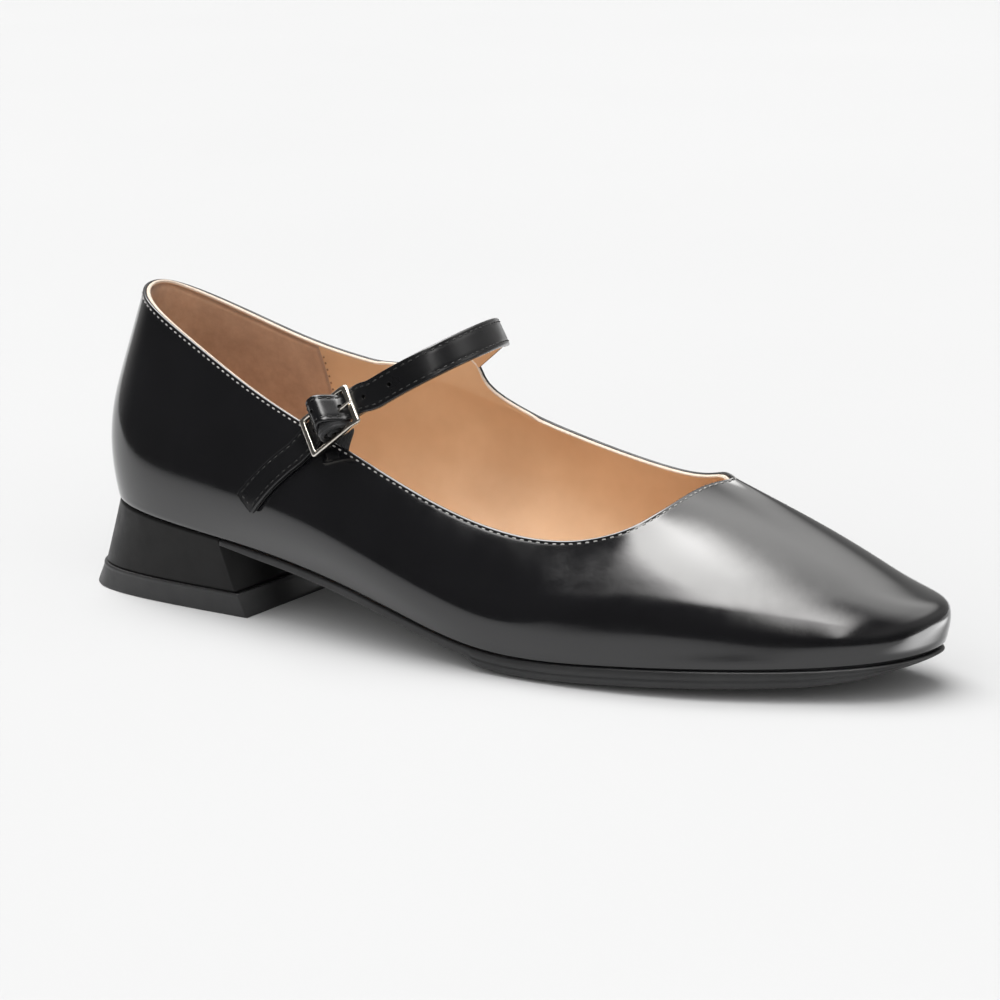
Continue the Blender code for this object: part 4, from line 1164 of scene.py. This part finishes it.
# ---------------------------------------------------------------- buckle and elastic
def rounded_rectangle(half_a, half_b, radius, steps, straight):
    points = []
    corners = ((1, 1, 0), (-1, 1, 90), (-1, -1, 180), (1, -1, 270))
    for k, (sa, sb, start) in enumerate(corners):
        for i in range(steps + 1):
            angle = radians(start + 90 * i / steps)
            points.append((sa * (half_a - radius) + radius * cos(angle), sb * (half_b - radius) + radius * sin(angle),
                           cos(angle), sin(angle)))
        na, nb, nstart = corners[(k + 1) % 4]
        angle = radians(start + 90)
        p = points[-1]
        q = (na * (half_a - radius) + radius * cos(radians(nstart)), nb * (half_b - radius) + radius * sin(radians(nstart)))
        for i in range(1, straight):
            f = i / straight
            points.append((p[0] + (q[0] - p[0]) * f, p[1] + (q[1] - p[1]) * f, cos(angle), sin(angle)))
    return points


def build_buckle(mats):
    centre, a, b, n = buckle_axes()
    wide_end, wide_side = 1.75 * MM, 1.25 * MM
    out_a, out_b = BUCKLE_LENGTH / 2, BUCKLE_WIDTH / 2
    deep = BUCKLE_DEEP / 2
    outer = rounded_rectangle(out_a, out_b, 0.9 * MM, 6, 16)
    inner = rounded_rectangle(out_a - wide_end, out_b - wide_side, 0.35 * MM, 6, 16)
    # section of a bar from its outer rim to its inner one: a shallow crown with rolled shoulders
    levels = [(0.0, -deep + 0.15 * MM), (0.0, deep - 0.62 * MM), (0.012, deep - 0.44 * MM), (0.05, deep - 0.28 * MM), (0.12, deep - 0.15 * MM),
              (0.22, deep - 0.06 * MM), (0.36, deep - 0.01 * MM), (0.5, deep), (0.64, deep - 0.01 * MM), (0.78, deep - 0.06 * MM),
              (0.88, deep - 0.15 * MM), (0.95, deep - 0.28 * MM), (0.988, deep - 0.44 * MM), (1.0, deep - 0.62 * MM),
              (1.0, -deep + 0.15 * MM), (0.94, -deep), (0.06, -deep)]
    rings = []
    for (oa, ob, _, _), (ia, ib, _, _) in zip(outer, inner):
        # the front end bar falls away towards its outer rim
        fall = 0.55 * MM * smooth_step((oa - out_a + 2.2 * MM) / (1.6 * MM))
        rings.append([centre + a * (oa + (ia - oa) * t) + b * (ob + (ib - ob) * t) + n * (level - fall * (1 - t) * (level > 0)) for t, level in levels])
    rings = np.array(rings)
    m = len(levels)
    verts = rings.reshape(-1, 3)
    faces = sweep_faces(len(rings), m, True)
    frame_obj = piece("buckle_bars", verts, faces, [mats["metal"]], stands_for=("buckle_frame",), smooth=False)
    soften(frame_obj)
    half_b = out_b - wide_side * 0.5
    bar = np.array([centre + b * half_b * k for k in np.linspace(-1, 1, 12)])
    verts, faces = tube(bar, CENTRE_BAR, 20, side=n)
    piece("buckle_centre_bar", verts, faces, [mats["metal"]])
    hook = CENTRE_BAR + GAP * 0.5 + PRONG
    places = [(hook * sin(radians(t)), hook * cos(radians(t))) for t in np.linspace(292, 112, 14)]
    rest = deep + PRONG * 0.92 + 0.03 * MM
    reach = out_a
    places += [(reach * 0.30, rest * 0.10), (reach * 0.45, rest * 0.52), (reach * 0.60, rest * 0.80), (reach * 0.75, rest * 0.95), (reach * 0.9, rest * 1.0),
               (reach + 0.35 * MM, rest * 0.98)]
    path = np.array([centre + a * p + n * q for p, q in places])
    t = np.linspace(0, 1, 70)
    path = clamped_basis(len(path), t) @ path
    radius = np.where(t > 0.93, PRONG * (1 - 0.35 * (t - 0.93) / 0.07), PRONG) * 1.0
    verts, faces = tube(path, radius, 16, side=b)
    piece("buckle_tongue", verts, faces, [mats["metal"]], stands_for=("buckle_prong",))


def soften(obj, width=0.06 * MM, segments=2):
    """Small bevel on the sharp edges, applied, with smooth shading between them."""
    mod = obj.modifiers.new("bevel", "BEVEL")
    mod.width = width
    mod.segments = segments
    mod.limit_method = "ANGLE"
    mod.angle_limit = radians(22)
    mod.harden_normals = False
    graph = bpy.context.evaluated_depsgraph_get()
    done = bpy.data.meshes.new_from_object(obj.evaluated_get(graph))
    obj.modifiers.remove(mod)
    obj.data = done
    done.polygons.foreach_set("use_smooth", np.full(len(done.polygons), True))
    done.update()


def build_elastic(mats):
    """Ribbed elastic sewn inside the lateral collar, then rolled round the centre bar."""
    centre, a, b, n = buckle_axes()
    thick = 0.95 * MM
    count = 41
    f = np.linspace(0, 1, count)
    rows = []
    for down in (9.5, 7.5, 5.5, 3.5, 1.6):
        u = 4.03 + (3.68 - 4.03) * f
        p = face_point(u, np.full(count, down * MM))
        side = unit(np.cross(face_point(u + 0.03, np.full(count, down * MM)) - p, p - face_point(u, np.full(count, (down + 1) * MM))))
        side = np.where(side[:, 1:2] < 0, -side, side)
        rows.append(p + side * (LEATHER + LINING + thick / 2 + 0.1 * MM))
    rows = np.array(rows)
    half_b = 4.4 * MM
    across = (f * 2 - 1)

    def bar(x, level, shift=0.0):
        """A row across the strap at x along it and this far below the centre bar, mm."""
        return centre - n * level * MM + a * x * MM + np.outer(across * half_b + shift * MM, b)

    above = rows[-1] + np.array([0, -0.3, 2.3]) * MM
    control = [*rows, above, above * 0.45 + bar(2.2, 4.2, -0.8) * 0.55, bar(3.9, 3.4, -0.8), bar(4.4, 1.4, -0.3), bar(3.6, -1.6), bar(1.2, -3.4), bar(-2.0, -3.2),
               bar(-3.9, -0.8), bar(-3.4, 2.0), bar(-0.6, 2.7), bar(2.0, 1.6), bar(1.9, -0.9), bar(0.0, -1.9), bar(-1.6, -0.6), bar(-0.9, 0.9)]
    control = np.array(control)
    path = np.einsum("nk,kcd->ncd", clamped_basis(len(control), np.linspace(0, 1, 120)), control)
    facing = grid_normals(path, False)
    if facing[:8, :, 1].mean() > 0:
        facing = -facing
    rib = 0.10 * MM * np.cos(across * pi * 9)[None, :, None]
    rim = np.sqrt(np.clip(1 - np.abs(across) ** 14, 0, 1))[None, :, None]
    outer = path + facing * (thick / 2 * rim + rib)
    inner = path - facing * (thick / 2 * rim + rib)
    k, m = path.shape[:2]
    verts = np.concatenate([outer.reshape(-1, 3), inner.reshape(-1, 3)])
    idx = np.arange(k * m).reshape(k, m)
    quad = np.stack([idx[:-1, :-1], idx[:-1, 1:], idx[1:, 1:], idx[1:, :-1]], -1).reshape(-1, 4)
    faces = quad.tolist() + (quad[:, ::-1] + k * m).tolist()
    border = np.concatenate([idx[:-1, 0], idx[-1, :-1], idx[::-1, -1][:-1], idx[0, ::-1][:-1]])
    nxt = np.roll(border, -1)
    faces += np.stack([nxt, border, border + k * m, nxt + k * m], 1).tolist()
    piece("elastic_strip", verts, faces, [mats["webbing"]], stands_for=("elastic_gore",))
    parts = []
    row = path[8]
    inward = -facing[8]
    parts += stitch_row(row + inward * (thick / 2 + 0.02 * MM), inward, 2.0 * MM, 1.4 * MM, 0.19 * MM)
    verts, faces = merged(parts)
    piece("elastic_stitching", verts, faces, [mats["thread_tan"]])


# ---------------------------------------------------------------- sole and heel
def ribbed_solid(name, layers, steps, mats, which_mat, bottom_shape=None, top_shape=None, stands_for=()):
    """Solid from closed outline layers (top first), capped with ribs between the outline's two halves."""
    rings = np.array(layers)
    n = rings.shape[1]
    half = n // 2
    verts = [rings.reshape(-1, 3)]
    faces = sweep_faces(len(rings), n, False).tolist()
    start = rings.shape[0] * n
    for which, ring, shape in ((0, rings[0], top_shape), (len(rings) - 1, rings[-1], bottom_shape)):
        f = np.linspace(0, 1, steps + 1)
        left, right = ring[:half], ring[n - half:][::-1]
        inner = left[:, None] * (1 - f)[None, 1:-1, None] + right[:, None] * f[None, 1:-1, None]
        if shape is not None:
            inner[..., 2] = shape(inner[..., 0], inner[..., 1], inner[..., 2], np.broadcast_to(f[None, 1:-1], inner.shape[:2]))
        verts.append(inner.reshape(-1, 3))
        idx = np.zeros((half, steps + 1), int)
        base = which * n
        idx[:, 0] = base + np.arange(half)
        idx[:, -1] = base + n - 1 - np.arange(half)
        idx[:, 1:-1] = start + np.arange(half * (steps - 1)).reshape(half, steps - 1)
        start += half * (steps - 1)
        quad = np.stack([idx[:-1, :-1], idx[:-1, 1:], idx[1:, 1:], idx[1:, :-1]], -1).reshape(-1, 4)
        faces += quad.tolist()
        for row in (idx[0], idx[-1]):
            if steps > 1:
                faces.append(row.tolist())
    made = piece(name, np.concatenate(verts), faces, mats, None, stands_for=stands_for)
    weld(made, 2e-6)
    return made


def open_inset(points, by, drop=0.0):
    moved = points.copy()
    moved[:, :2] -= plan_normals(points[:, :2], False) * by
    moved[:, 2] -= drop
    return moved


def build_outsole(mats):
    x0 = BREAST_X + 0.6 * MM
    u = np.linspace(feather_at(x0, "lateral"), feather_at(x0, "medial"), 3001)
    foot = skin(u, np.zeros_like(u))
    step = np.linalg.norm(np.diff(foot, axis=0), axis=1)
    middle = (foot[1:, 0] + foot[:-1, 0]) / 2
    step = step * (1 + 1.5 * np.exp(-((middle - 139.5 * MM) / (4 * MM)) ** 2))
    total = np.concatenate([[0], np.cumsum(step)])
    u = np.interp(np.linspace(0, total[-1], 520), total, u)
    ring = skin(u, np.zeros_like(u))
    knots, thick = np.array(SOLE_THICKNESS, float).T
    x = ring[:, 0] / MM
    thickness = np.mean([np.interp(x + d, knots, thick) for d in (-0.9, -0.45, 0, 0.45, 0.9)], axis=0) * MM
    rubber = smooth_step((x - 138.5) / 3.0)
    layers = [open_inset(ring, 0.9 * MM, -0.1 * MM), open_inset(ring, 0.25 * MM, 0.05 * MM), open_inset(ring, 0.02 * MM, 0.16 * MM),
              open_inset(ring, -0.12 * MM, 0.4 * MM)]
    proud = 0.12 * MM + 0.10 * MM * rubber
    # share down the side, how far out
    for share, push in ((0.30, 1.0), (0.42, 1.0), (0.47, 0.1), (0.52, 1.05), (0.66, 1.0), (0.80, 0.55)):
        layer = ring.copy()
        groove = np.where(abs(share - 0.47) < 0.01, 1 - rubber, 0)
        out = proud * (push + groove * (1.0 - push))
        layer[:, :2] += plan_normals(ring[:, :2], False) * out[:, None]
        layer[:, 2] -= 0.3 * MM * (share < 0.35) * 0 + thickness * share + 0.12 * MM
        layers.append(layer)
    round_x = np.minimum(SOLE_CHAMFER, 0.55 * thickness)
    for k in range(1, 6):
        a = pi / 2 * k / 5
        by = -0.05 * MM + round_x * (1 - cos(a))
        layer = open_inset(ring, by[:, None])
        layer[:, 2] -= 0.12 * MM + thickness * (0.80 + 0.20 * sin(a))
        layer[:, 2] = np.maximum(layer[:, 2], 0)
        layers.append(layer)

    def tread(px, py, pz, f):
        edge = np.clip(np.minimum(f, 1 - f) * 3, 0, 1)
        crown = SOLE_CROWN * np.clip((px - 60 * MM) / (60 * MM), 0, 1) * (1 - smooth_step((px - 212 * MM) / (26 * MM)))
        shaped = np.maximum(0.0, pz - crown * edge)
        inside = smooth_step((np.minimum(f, 1 - f) - 0.15) / 0.03)
        fore = smooth_step((px - 150 * MM) / (1 * MM)) * (1 - smooth_step((px - 222 * MM) / (3 * MM)))
        bend = px + 9 * MM * (f - 0.5) ** 2 * 4
        line = (0.5 + 0.5 * np.cos(bend / (4.2 * MM) * 2 * pi))
        ribs = smooth_step((line - 0.62) / 0.16)
        return shaped + 0.55 * MM * ribs * inside * fore

    ribbed_solid("sole", layers, 44, [mats["sole"]], None, bottom_shape=tread, stands_for=("outsole",))


def heel_ring(level, count=260):
    """Plan of the heel: level 0 where it meets the upper, 1 on the floor."""
    u = np.linspace(feather_at(BREAST_X, "medial") - 22, feather_at(BREAST_X, "lateral"), 2001)
    ring = skin(u % 22, np.zeros_like(u))
    total = np.concatenate([[0], np.cumsum(np.linalg.norm(np.diff(ring, axis=0), axis=1))])
    u = np.interp(np.linspace(0, total[-1], count), total, u)
    ring = skin(u % 22, np.zeros_like(u))
    back, front = ring[:, 0].min(), ring[[0, -1], 0].mean()
    wide = np.abs(ring[:, 1]).max()
    share = (ring[:, 0] - back) / (front - back)
    x_floor = (back - HEEL_FLARE_BACK) + share * (HEEL_BOTTOM_FRONT - back + HEEL_FLARE_BACK)
    part = ring[:, 1] / wide
    y_floor = 28.0 * MM * part / (part**2 + 0.02) ** 0.19 * 1.02**0.19
    shaped = ring.copy()
    shaped[:, 0] += (x_floor - ring[:, 0]) * level
    shaped[:, 1] += (y_floor - ring[:, 1]) * level
    return shaped


def heel_level(height, proud=0.0):
    if height is None:
        return open_inset(heel_ring(0.0), 0.15 * MM, 0.05 * MM)
    layer = open_inset(heel_ring(1 - height / (22.5 * MM)), -proud)
    layer[:, 2] = height
    return layer


def build_heel(mats):
    seat = heel_level(None)
    # the block's foot stands a little inside the lift, whose shoulder shows all round it
    foot = heel_level(LIFT_THICK + 0.1 * MM, -0.3 * MM)
    ahead = (foot[:, 0] - foot[:, 0].min()) / np.ptp(foot[:, 0])
    foot[:, 0] -= 1.0 * MM * ahead
    layers = [seat * (1 - share) + foot * share for share in np.linspace(0, 1, 22)]
    top = layers[0].copy()
    top = open_inset(top, 0.5 * MM, -0.35 * MM)
    ribbed_solid("heel", [top] + layers, 24, [mats["heel"]], None, stands_for=("heel_block",))
    top = LIFT_THICK
    rows = [(top, -0.05), (top - 0.06 * MM, 0.1), (top - 0.2 * MM, 0.24), (top - 0.42 * MM, 0.31), (top - 0.7 * MM, 0.3), (top - 0.95 * MM, 0.22),
            (top - 1.2 * MM, 0.13), (top - 1.5 * MM, 0.1), (top - 3.5 * MM, 0.12), (1.0 * MM, 0.2), (0.45 * MM, 0.2), (0.2 * MM, 0.12), (0.0, -0.15)]
    layers = [heel_level(h, p * MM) for h, p in rows]

    def tread(px, py, pz, f):
        inside = smooth_step((np.minimum(f, 1 - f) - 0.12) / 0.02) * smooth_step((px + 0.0) / (1 * MM)) * (1 - smooth_step((px - 55 * MM) / (1 * MM)))
        line = 0.5 + 0.5 * np.cos(px / (4.2 * MM) * 2 * pi)
        return pz + 0.5 * MM * smooth_step((line - 0.62) / 0.16) * inside

    ribbed_solid("heel_lift", layers, 44, [mats["lift"]], None, bottom_shape=tread, stands_for=("top_lift",))


# ---------------------------------------------------------------- studio
CAMERA_AZ, CAMERA_EL, CAMERA_ROLL = 32.86, 14.13, -0.58     # degrees
CAMERA_AWAY = 961.1 * MM
CAMERA_TARGET = np.array([125.0, 0.0, 30.0]) * MM
LENS = 130.0
# light: soft box (its turn from -Y towards +X, and the softness of its edges), dim room and even fill
BOX_TURN = 28.0
BOX_RIGHT = (0.0, 0.19)
BOX_LEFT, BOX_SPREAD = (-0.57, -0.37), 0.62
BOX_BACK = (-0.90, -0.46)
BOX_IN_GLOSS, BOX_ON_MATT = 9.4, 5.3
FILL_ALL, FILL_FRONT = 0.19, 1.03
ROOM_DARK, ROOM_RIGHT, ROOM_BACK, ROOM_BACK_HIGH = 0.06, 0.25, 0.30, 1.9
TABLE_EDGE = (0.04, 0.42)    # m out from the shoe: polished faces lose sight of the floor over this stretch
TABLE_END = (0.42, 0.58)     # and the same beyond the toe, m along the shoe
# the glowing patch painted on the floor beyond the toe, a painted reflection for the toe's polished faces: axis, where
# its edge starts and ends in m, and its share on either side
FLOOR_GLOW_PATCH = (("X", 0.264, 0.300, 0.0, 1.0), ("X", 0.40, 0.55, 1.0, 0.0), ("Y", -0.045, 0.010, 0.0, 1.0), ("Y", 0.06, 0.12, 1.0, 0.0))
# strength of the painted glow on the floor, seen only in reflections
FLOOR_GLOW_STRENGTH = 6.0


def build_camera():
    az, el = radians(CAMERA_AZ), radians(CAMERA_EL)
    back = np.array([sin(az) * cos(el), -cos(az) * cos(el), sin(el)])
    place = CAMERA_TARGET + back * CAMERA_AWAY
    aim = np.array([126.0, -3.0, 36.0]) * MM
    look = unit((aim - place)[None])[0]
    right = unit(np.cross(look, [0, 0, 1.0])[None])[0]
    up = np.cross(right, look)
    roll = radians(CAMERA_ROLL)
    right, up = right * cos(roll) + up * sin(roll), up * cos(roll) - right * sin(roll)
    data = bpy.data.cameras.new("camera")
    data.lens = LENS
    data.sensor_width = 36.0
    data.clip_start = 0.05
    data.clip_end = 20.0
    camera = bpy.data.objects.new("camera", data)
    bpy.context.scene.collection.objects.link(camera)
    turn = Matrix(((right[0], up[0], -look[0], 0), (right[1], up[1], -look[1], 0), (right[2], up[2], -look[2], 0), (0, 0, 0, 1)))
    camera.matrix_world = Matrix.Translation(Vector(place + ORIGIN)) @ turn
    bpy.context.scene.camera = camera


def build_studio():
    n = Nodes("studio_floor")
    n.colour(n.ramp(n.noise(3, 2, 0.5), (0.0, (0.60, 0.60, 0.60)), (1.0, (0.625, 0.625, 0.625))))
    n.rough(n.range(n.noise(30, 3, 0.5), 0.30, 0.38))
    n.set(Specular_IOR_Level=0.0)
    # in reflections the floor fades out away from the shoe's outer side and beyond its toe
    place = n.new("ShaderNodeVectorMath", operation="DOT_PRODUCT")
    n.link(n.coords.outputs["Object"], place.inputs[0])
    place.inputs[1].default_value = (0.0, -1.0, 0.0)
    toward = place.outputs["Value"]
    fade = n.new("ShaderNodeMapRange", interpolation_type="SMOOTHSTEP")
    fade.inputs["From Min"].default_value, fade.inputs["From Max"].default_value = TABLE_EDGE
    n.link(toward, fade.inputs["Value"])
    apart = n.new("ShaderNodeSeparateXYZ")
    n.link(n.coords.outputs["Object"], apart.inputs["Vector"])
    beyond = n.new("ShaderNodeMapRange", interpolation_type="SMOOTHSTEP")
    beyond.inputs["From Min"].default_value, beyond.inputs["From Max"].default_value = (float(v + ORIGIN[0]) for v in TABLE_END)
    n.link(apart.outputs["X"], beyond.inputs["Value"])
    more = n.new("ShaderNodeMath", operation="MAXIMUM")
    n.link(fade.outputs["Result"], more.inputs[0])
    n.link(beyond.outputs["Result"], more.inputs[1])
    both = n.new("ShaderNodeMath", operation="MULTIPLY")
    n.link(more.outputs["Value"], both.inputs[0])
    light_path = n.new("ShaderNodeLightPath")
    n.link(light_path.outputs["Is Glossy Ray"], both.inputs[1])
    mix = n.new("ShaderNodeMixShader")
    n.link(both.outputs["Value"], mix.inputs["Fac"])
    n.link(n.shader.outputs["BSDF"], mix.inputs[1])
    n.link(n.new("ShaderNodeBsdfTransparent").outputs["BSDF"], mix.inputs[2])
    # a glowing patch painted on the floor beyond the toe, seen in reflections only: a painted reflection, not a lamp
    value = light_path.outputs["Is Glossy Ray"]
    for axis, start, end, low, high in FLOOR_GLOW_PATCH:
        edge = n.new("ShaderNodeMapRange", interpolation_type="SMOOTHSTEP")
        edge.inputs["From Min"].default_value, edge.inputs["From Max"].default_value = (float(v + ORIGIN["XYZ".index(axis)]) for v in (start, end))
        edge.inputs["To Min"].default_value, edge.inputs["To Max"].default_value = low, high
        n.link(apart.outputs[axis], edge.inputs["Value"])
        times = n.new("ShaderNodeMath", operation="MULTIPLY")
        n.link(value, times.inputs[0])
        n.link(edge.outputs["Result"], times.inputs[1])
        value = times.outputs["Value"]
    # the floor glows here though it is no lamp: painted reflection light
    glow_patch = n.new("ShaderNodeEmission")
    glow_patch.inputs["Strength"].default_value = FLOOR_GLOW_STRENGTH
    over = n.new("ShaderNodeMixShader")
    n.link(value, over.inputs["Fac"])
    n.link(mix.outputs["Shader"], over.inputs[1])
    n.link(glow_patch.outputs["Emission"], over.inputs[2])
    n.link(over.outputs["Shader"], n.tree.nodes["Material Output"].inputs["Surface"])
    mesh = bpy.data.meshes.new("floor")
    mesh.from_pydata([(-6, -6, 0), (6, -6, 0), (6, 6, 0), (-6, 6, 0)], [], [(0, 1, 2, 3)])
    floor = bpy.data.objects.new("floor", mesh)
    bpy.context.scene.collection.objects.link(floor)
    mesh.materials.append(n.mat)
    world = bpy.data.worlds.new("studio")
    world.use_nodes = True
    bpy.context.scene.world = world
    tree = world.node_tree
    tree.nodes.clear()
    out = tree.nodes.new("ShaderNodeOutputWorld")
    path = tree.nodes.new("ShaderNodeLightPath")

    def sky(colour, strength):
        node = tree.nodes.new("ShaderNodeBackground")
        node.inputs["Color"].default_value = (*colour, 1)
        node.inputs["Strength"].default_value = strength
        return node.outputs["Background"]

    def either(flag, no, yes):
        mix = tree.nodes.new("ShaderNodeMixShader")
        tree.links.new(path.outputs[flag], mix.inputs["Fac"])
        tree.links.new(no, mix.inputs[1])
        tree.links.new(yes, mix.inputs[2])
        return mix.outputs["Shader"]

    coords = tree.nodes.new("ShaderNodeTexCoord")
    split = tree.nodes.new("ShaderNodeSeparateXYZ")
    tree.links.new(coords.outputs["Generated"], split.inputs["Vector"])
    x, y, z = split.outputs

    def maths(kind, *values):
        node = tree.nodes.new("ShaderNodeMath")
        node.operation = kind
        for socket, value in zip(node.inputs, values):
            if isinstance(value, (int, float)):
                socket.default_value = value
            else:
                tree.links.new(value, socket)
        return node.outputs["Value"]

    def step(value, low, high):
        node = tree.nodes.new("ShaderNodeMapRange")
        node.interpolation_type = "SMOOTHSTEP"
        node.inputs["From Min"].default_value = low
        node.inputs["From Max"].default_value = high
        tree.links.new(value, node.inputs["Value"])
        return node.outputs["Result"]

    def product(*values):
        out_value = values[0]
        for value in values[1:]:
            out_value = maths("MULTIPLY", out_value, value)
        return out_value

    # a long soft box overhead: on a plane over the shoe it lies beside the line that runs from behind
    # the shoe to over the camera
    high = maths("MAXIMUM", z, 0.05)
    over_x, over_y = maths("DIVIDE", x, high), maths("DIVIDE", y, high)
    run = radians(BOX_TURN)
    off = maths("ADD", product(over_x, cos(run)), product(over_y, sin(run)))
    along = maths("SUBTRACT", product(over_x, sin(run)), product(over_y, cos(run)))
    spread = product(maths("MINIMUM", along, 0.78), BOX_SPREAD)
    box = product(maths("SUBTRACT", 1.0, step(off, *BOX_RIGHT)), step(maths("SUBTRACT", off, spread), *BOX_LEFT),
                  step(along, *BOX_BACK), maths("SUBTRACT", 1.0, step(along, 1.6, 4.5)), step(z, 0.03, 0.14))
    wall_right = product(step(x, 0.30, 0.80), step(z, 0.08, 0.45))
    wall_back = product(step(y, -0.25, 0.35), maths("ADD", ROOM_BACK, product(step(z, 0.52, 0.78), ROOM_BACK_HIGH)))
    room = maths("ADD", maths("ADD", ROOM_DARK, product(wall_right, ROOM_RIGHT)), wall_back)
    fill = maths("ADD", FILL_ALL, product(step(maths("MULTIPLY", y, -1.0), -0.4, 0.7), FILL_FRONT))

    def sum_of(room_value, box_strength):
        return maths("ADD", room_value, product(box, box_strength))

    def lit(value, colour=(1, 1, 1)):
        node = tree.nodes.new("ShaderNodeBackground")
        node.inputs["Color"].default_value = (*colour, 1)
        tree.links.new(value, node.inputs["Strength"])
        return node.outputs["Background"]

    # matt surfaces get even light and the box, polished ones the box in a dim room, and the wall behind is pale
    surround = either("Is Glossy Ray", lit(sum_of(fill, BOX_ON_MATT)), lit(sum_of(room, BOX_IN_GLOSS), (1.0, 0.99, 0.975)))
    tree.links.new(either("Is Camera Ray", surround, sky((0.91, 0.91, 0.91), 1.0)), out.inputs["Surface"])
    bpy.context.scene.view_settings.view_transform = "Standard"


def make_materials():
    return {
        "leather": polished_leather("black_leather"),
        "strap": polished_leather("black_strap_leather", (0.004, 0.004, 0.0046), 0.30, 0.08, 0.15, 0.35),
        "strap_rim": polished_leather("black_strap_rim_leather", (0.004, 0.004, 0.0046), 0.24, 0.30, 0.12),
        "edge_black": rubber("black_cut_edge", (0.010, 0.010, 0.011), 0.5, 1500),
        "tan": lining_leather("tan_lining", (0.58, 0.34, 0.18), (0.78, 0.50, 0.29)),
        "sock": lining_leather("tan_sock", (0.50, 0.30, 0.155), (0.68, 0.45, 0.25)),
        "grip": suede("brown_heel_grip", (0.40, 0.235, 0.14), (0.56, 0.34, 0.21)),
        "cream": cut_edge("pale_cut_edge", (0.66, 0.53, 0.42), (0.90, 0.78, 0.66)),
        "strap_edge": cut_edge("strap_cut_edge", (0.11, 0.08, 0.058), (0.22, 0.165, 0.12)),
        "thread": thread("grey_white_thread", (0.20, 0.195, 0.188), (0.46, 0.448, 0.43)),
        "thread_grey": thread("grey_thread", (0.008, 0.008, 0.008), (0.022, 0.022, 0.021), 0.0),
        "hole": rubber("needle_hole", (0.003, 0.003, 0.003), 0.85, 1500),
        "thread_tan": thread("tan_thread", (0.20, 0.10, 0.05), (0.38, 0.21, 0.11)),
        "sole": rubber("black_sole"),
        "heel": rubber("black_heel", (0.0050, 0.0048, 0.0048), 0.38, 500, 0.2),
        "lift": rubber("black_lift", (0.013, 0.013, 0.0135), 0.40, 800),
        "metal": metal("pale_metal"),
        "webbing": webbing("black_webbing"),
    }


def main():
    mats = make_materials()
    build_camera()
    build_studio()
    build_upper(mats)
    build_topline_stitching(mats)
    build_insole(mats)
    build_heel_grip(mats)
    build_strap(mats)
    build_buckle(mats)
    build_elastic(mats)
    build_outsole(mats)
    build_heel(mats)


main()
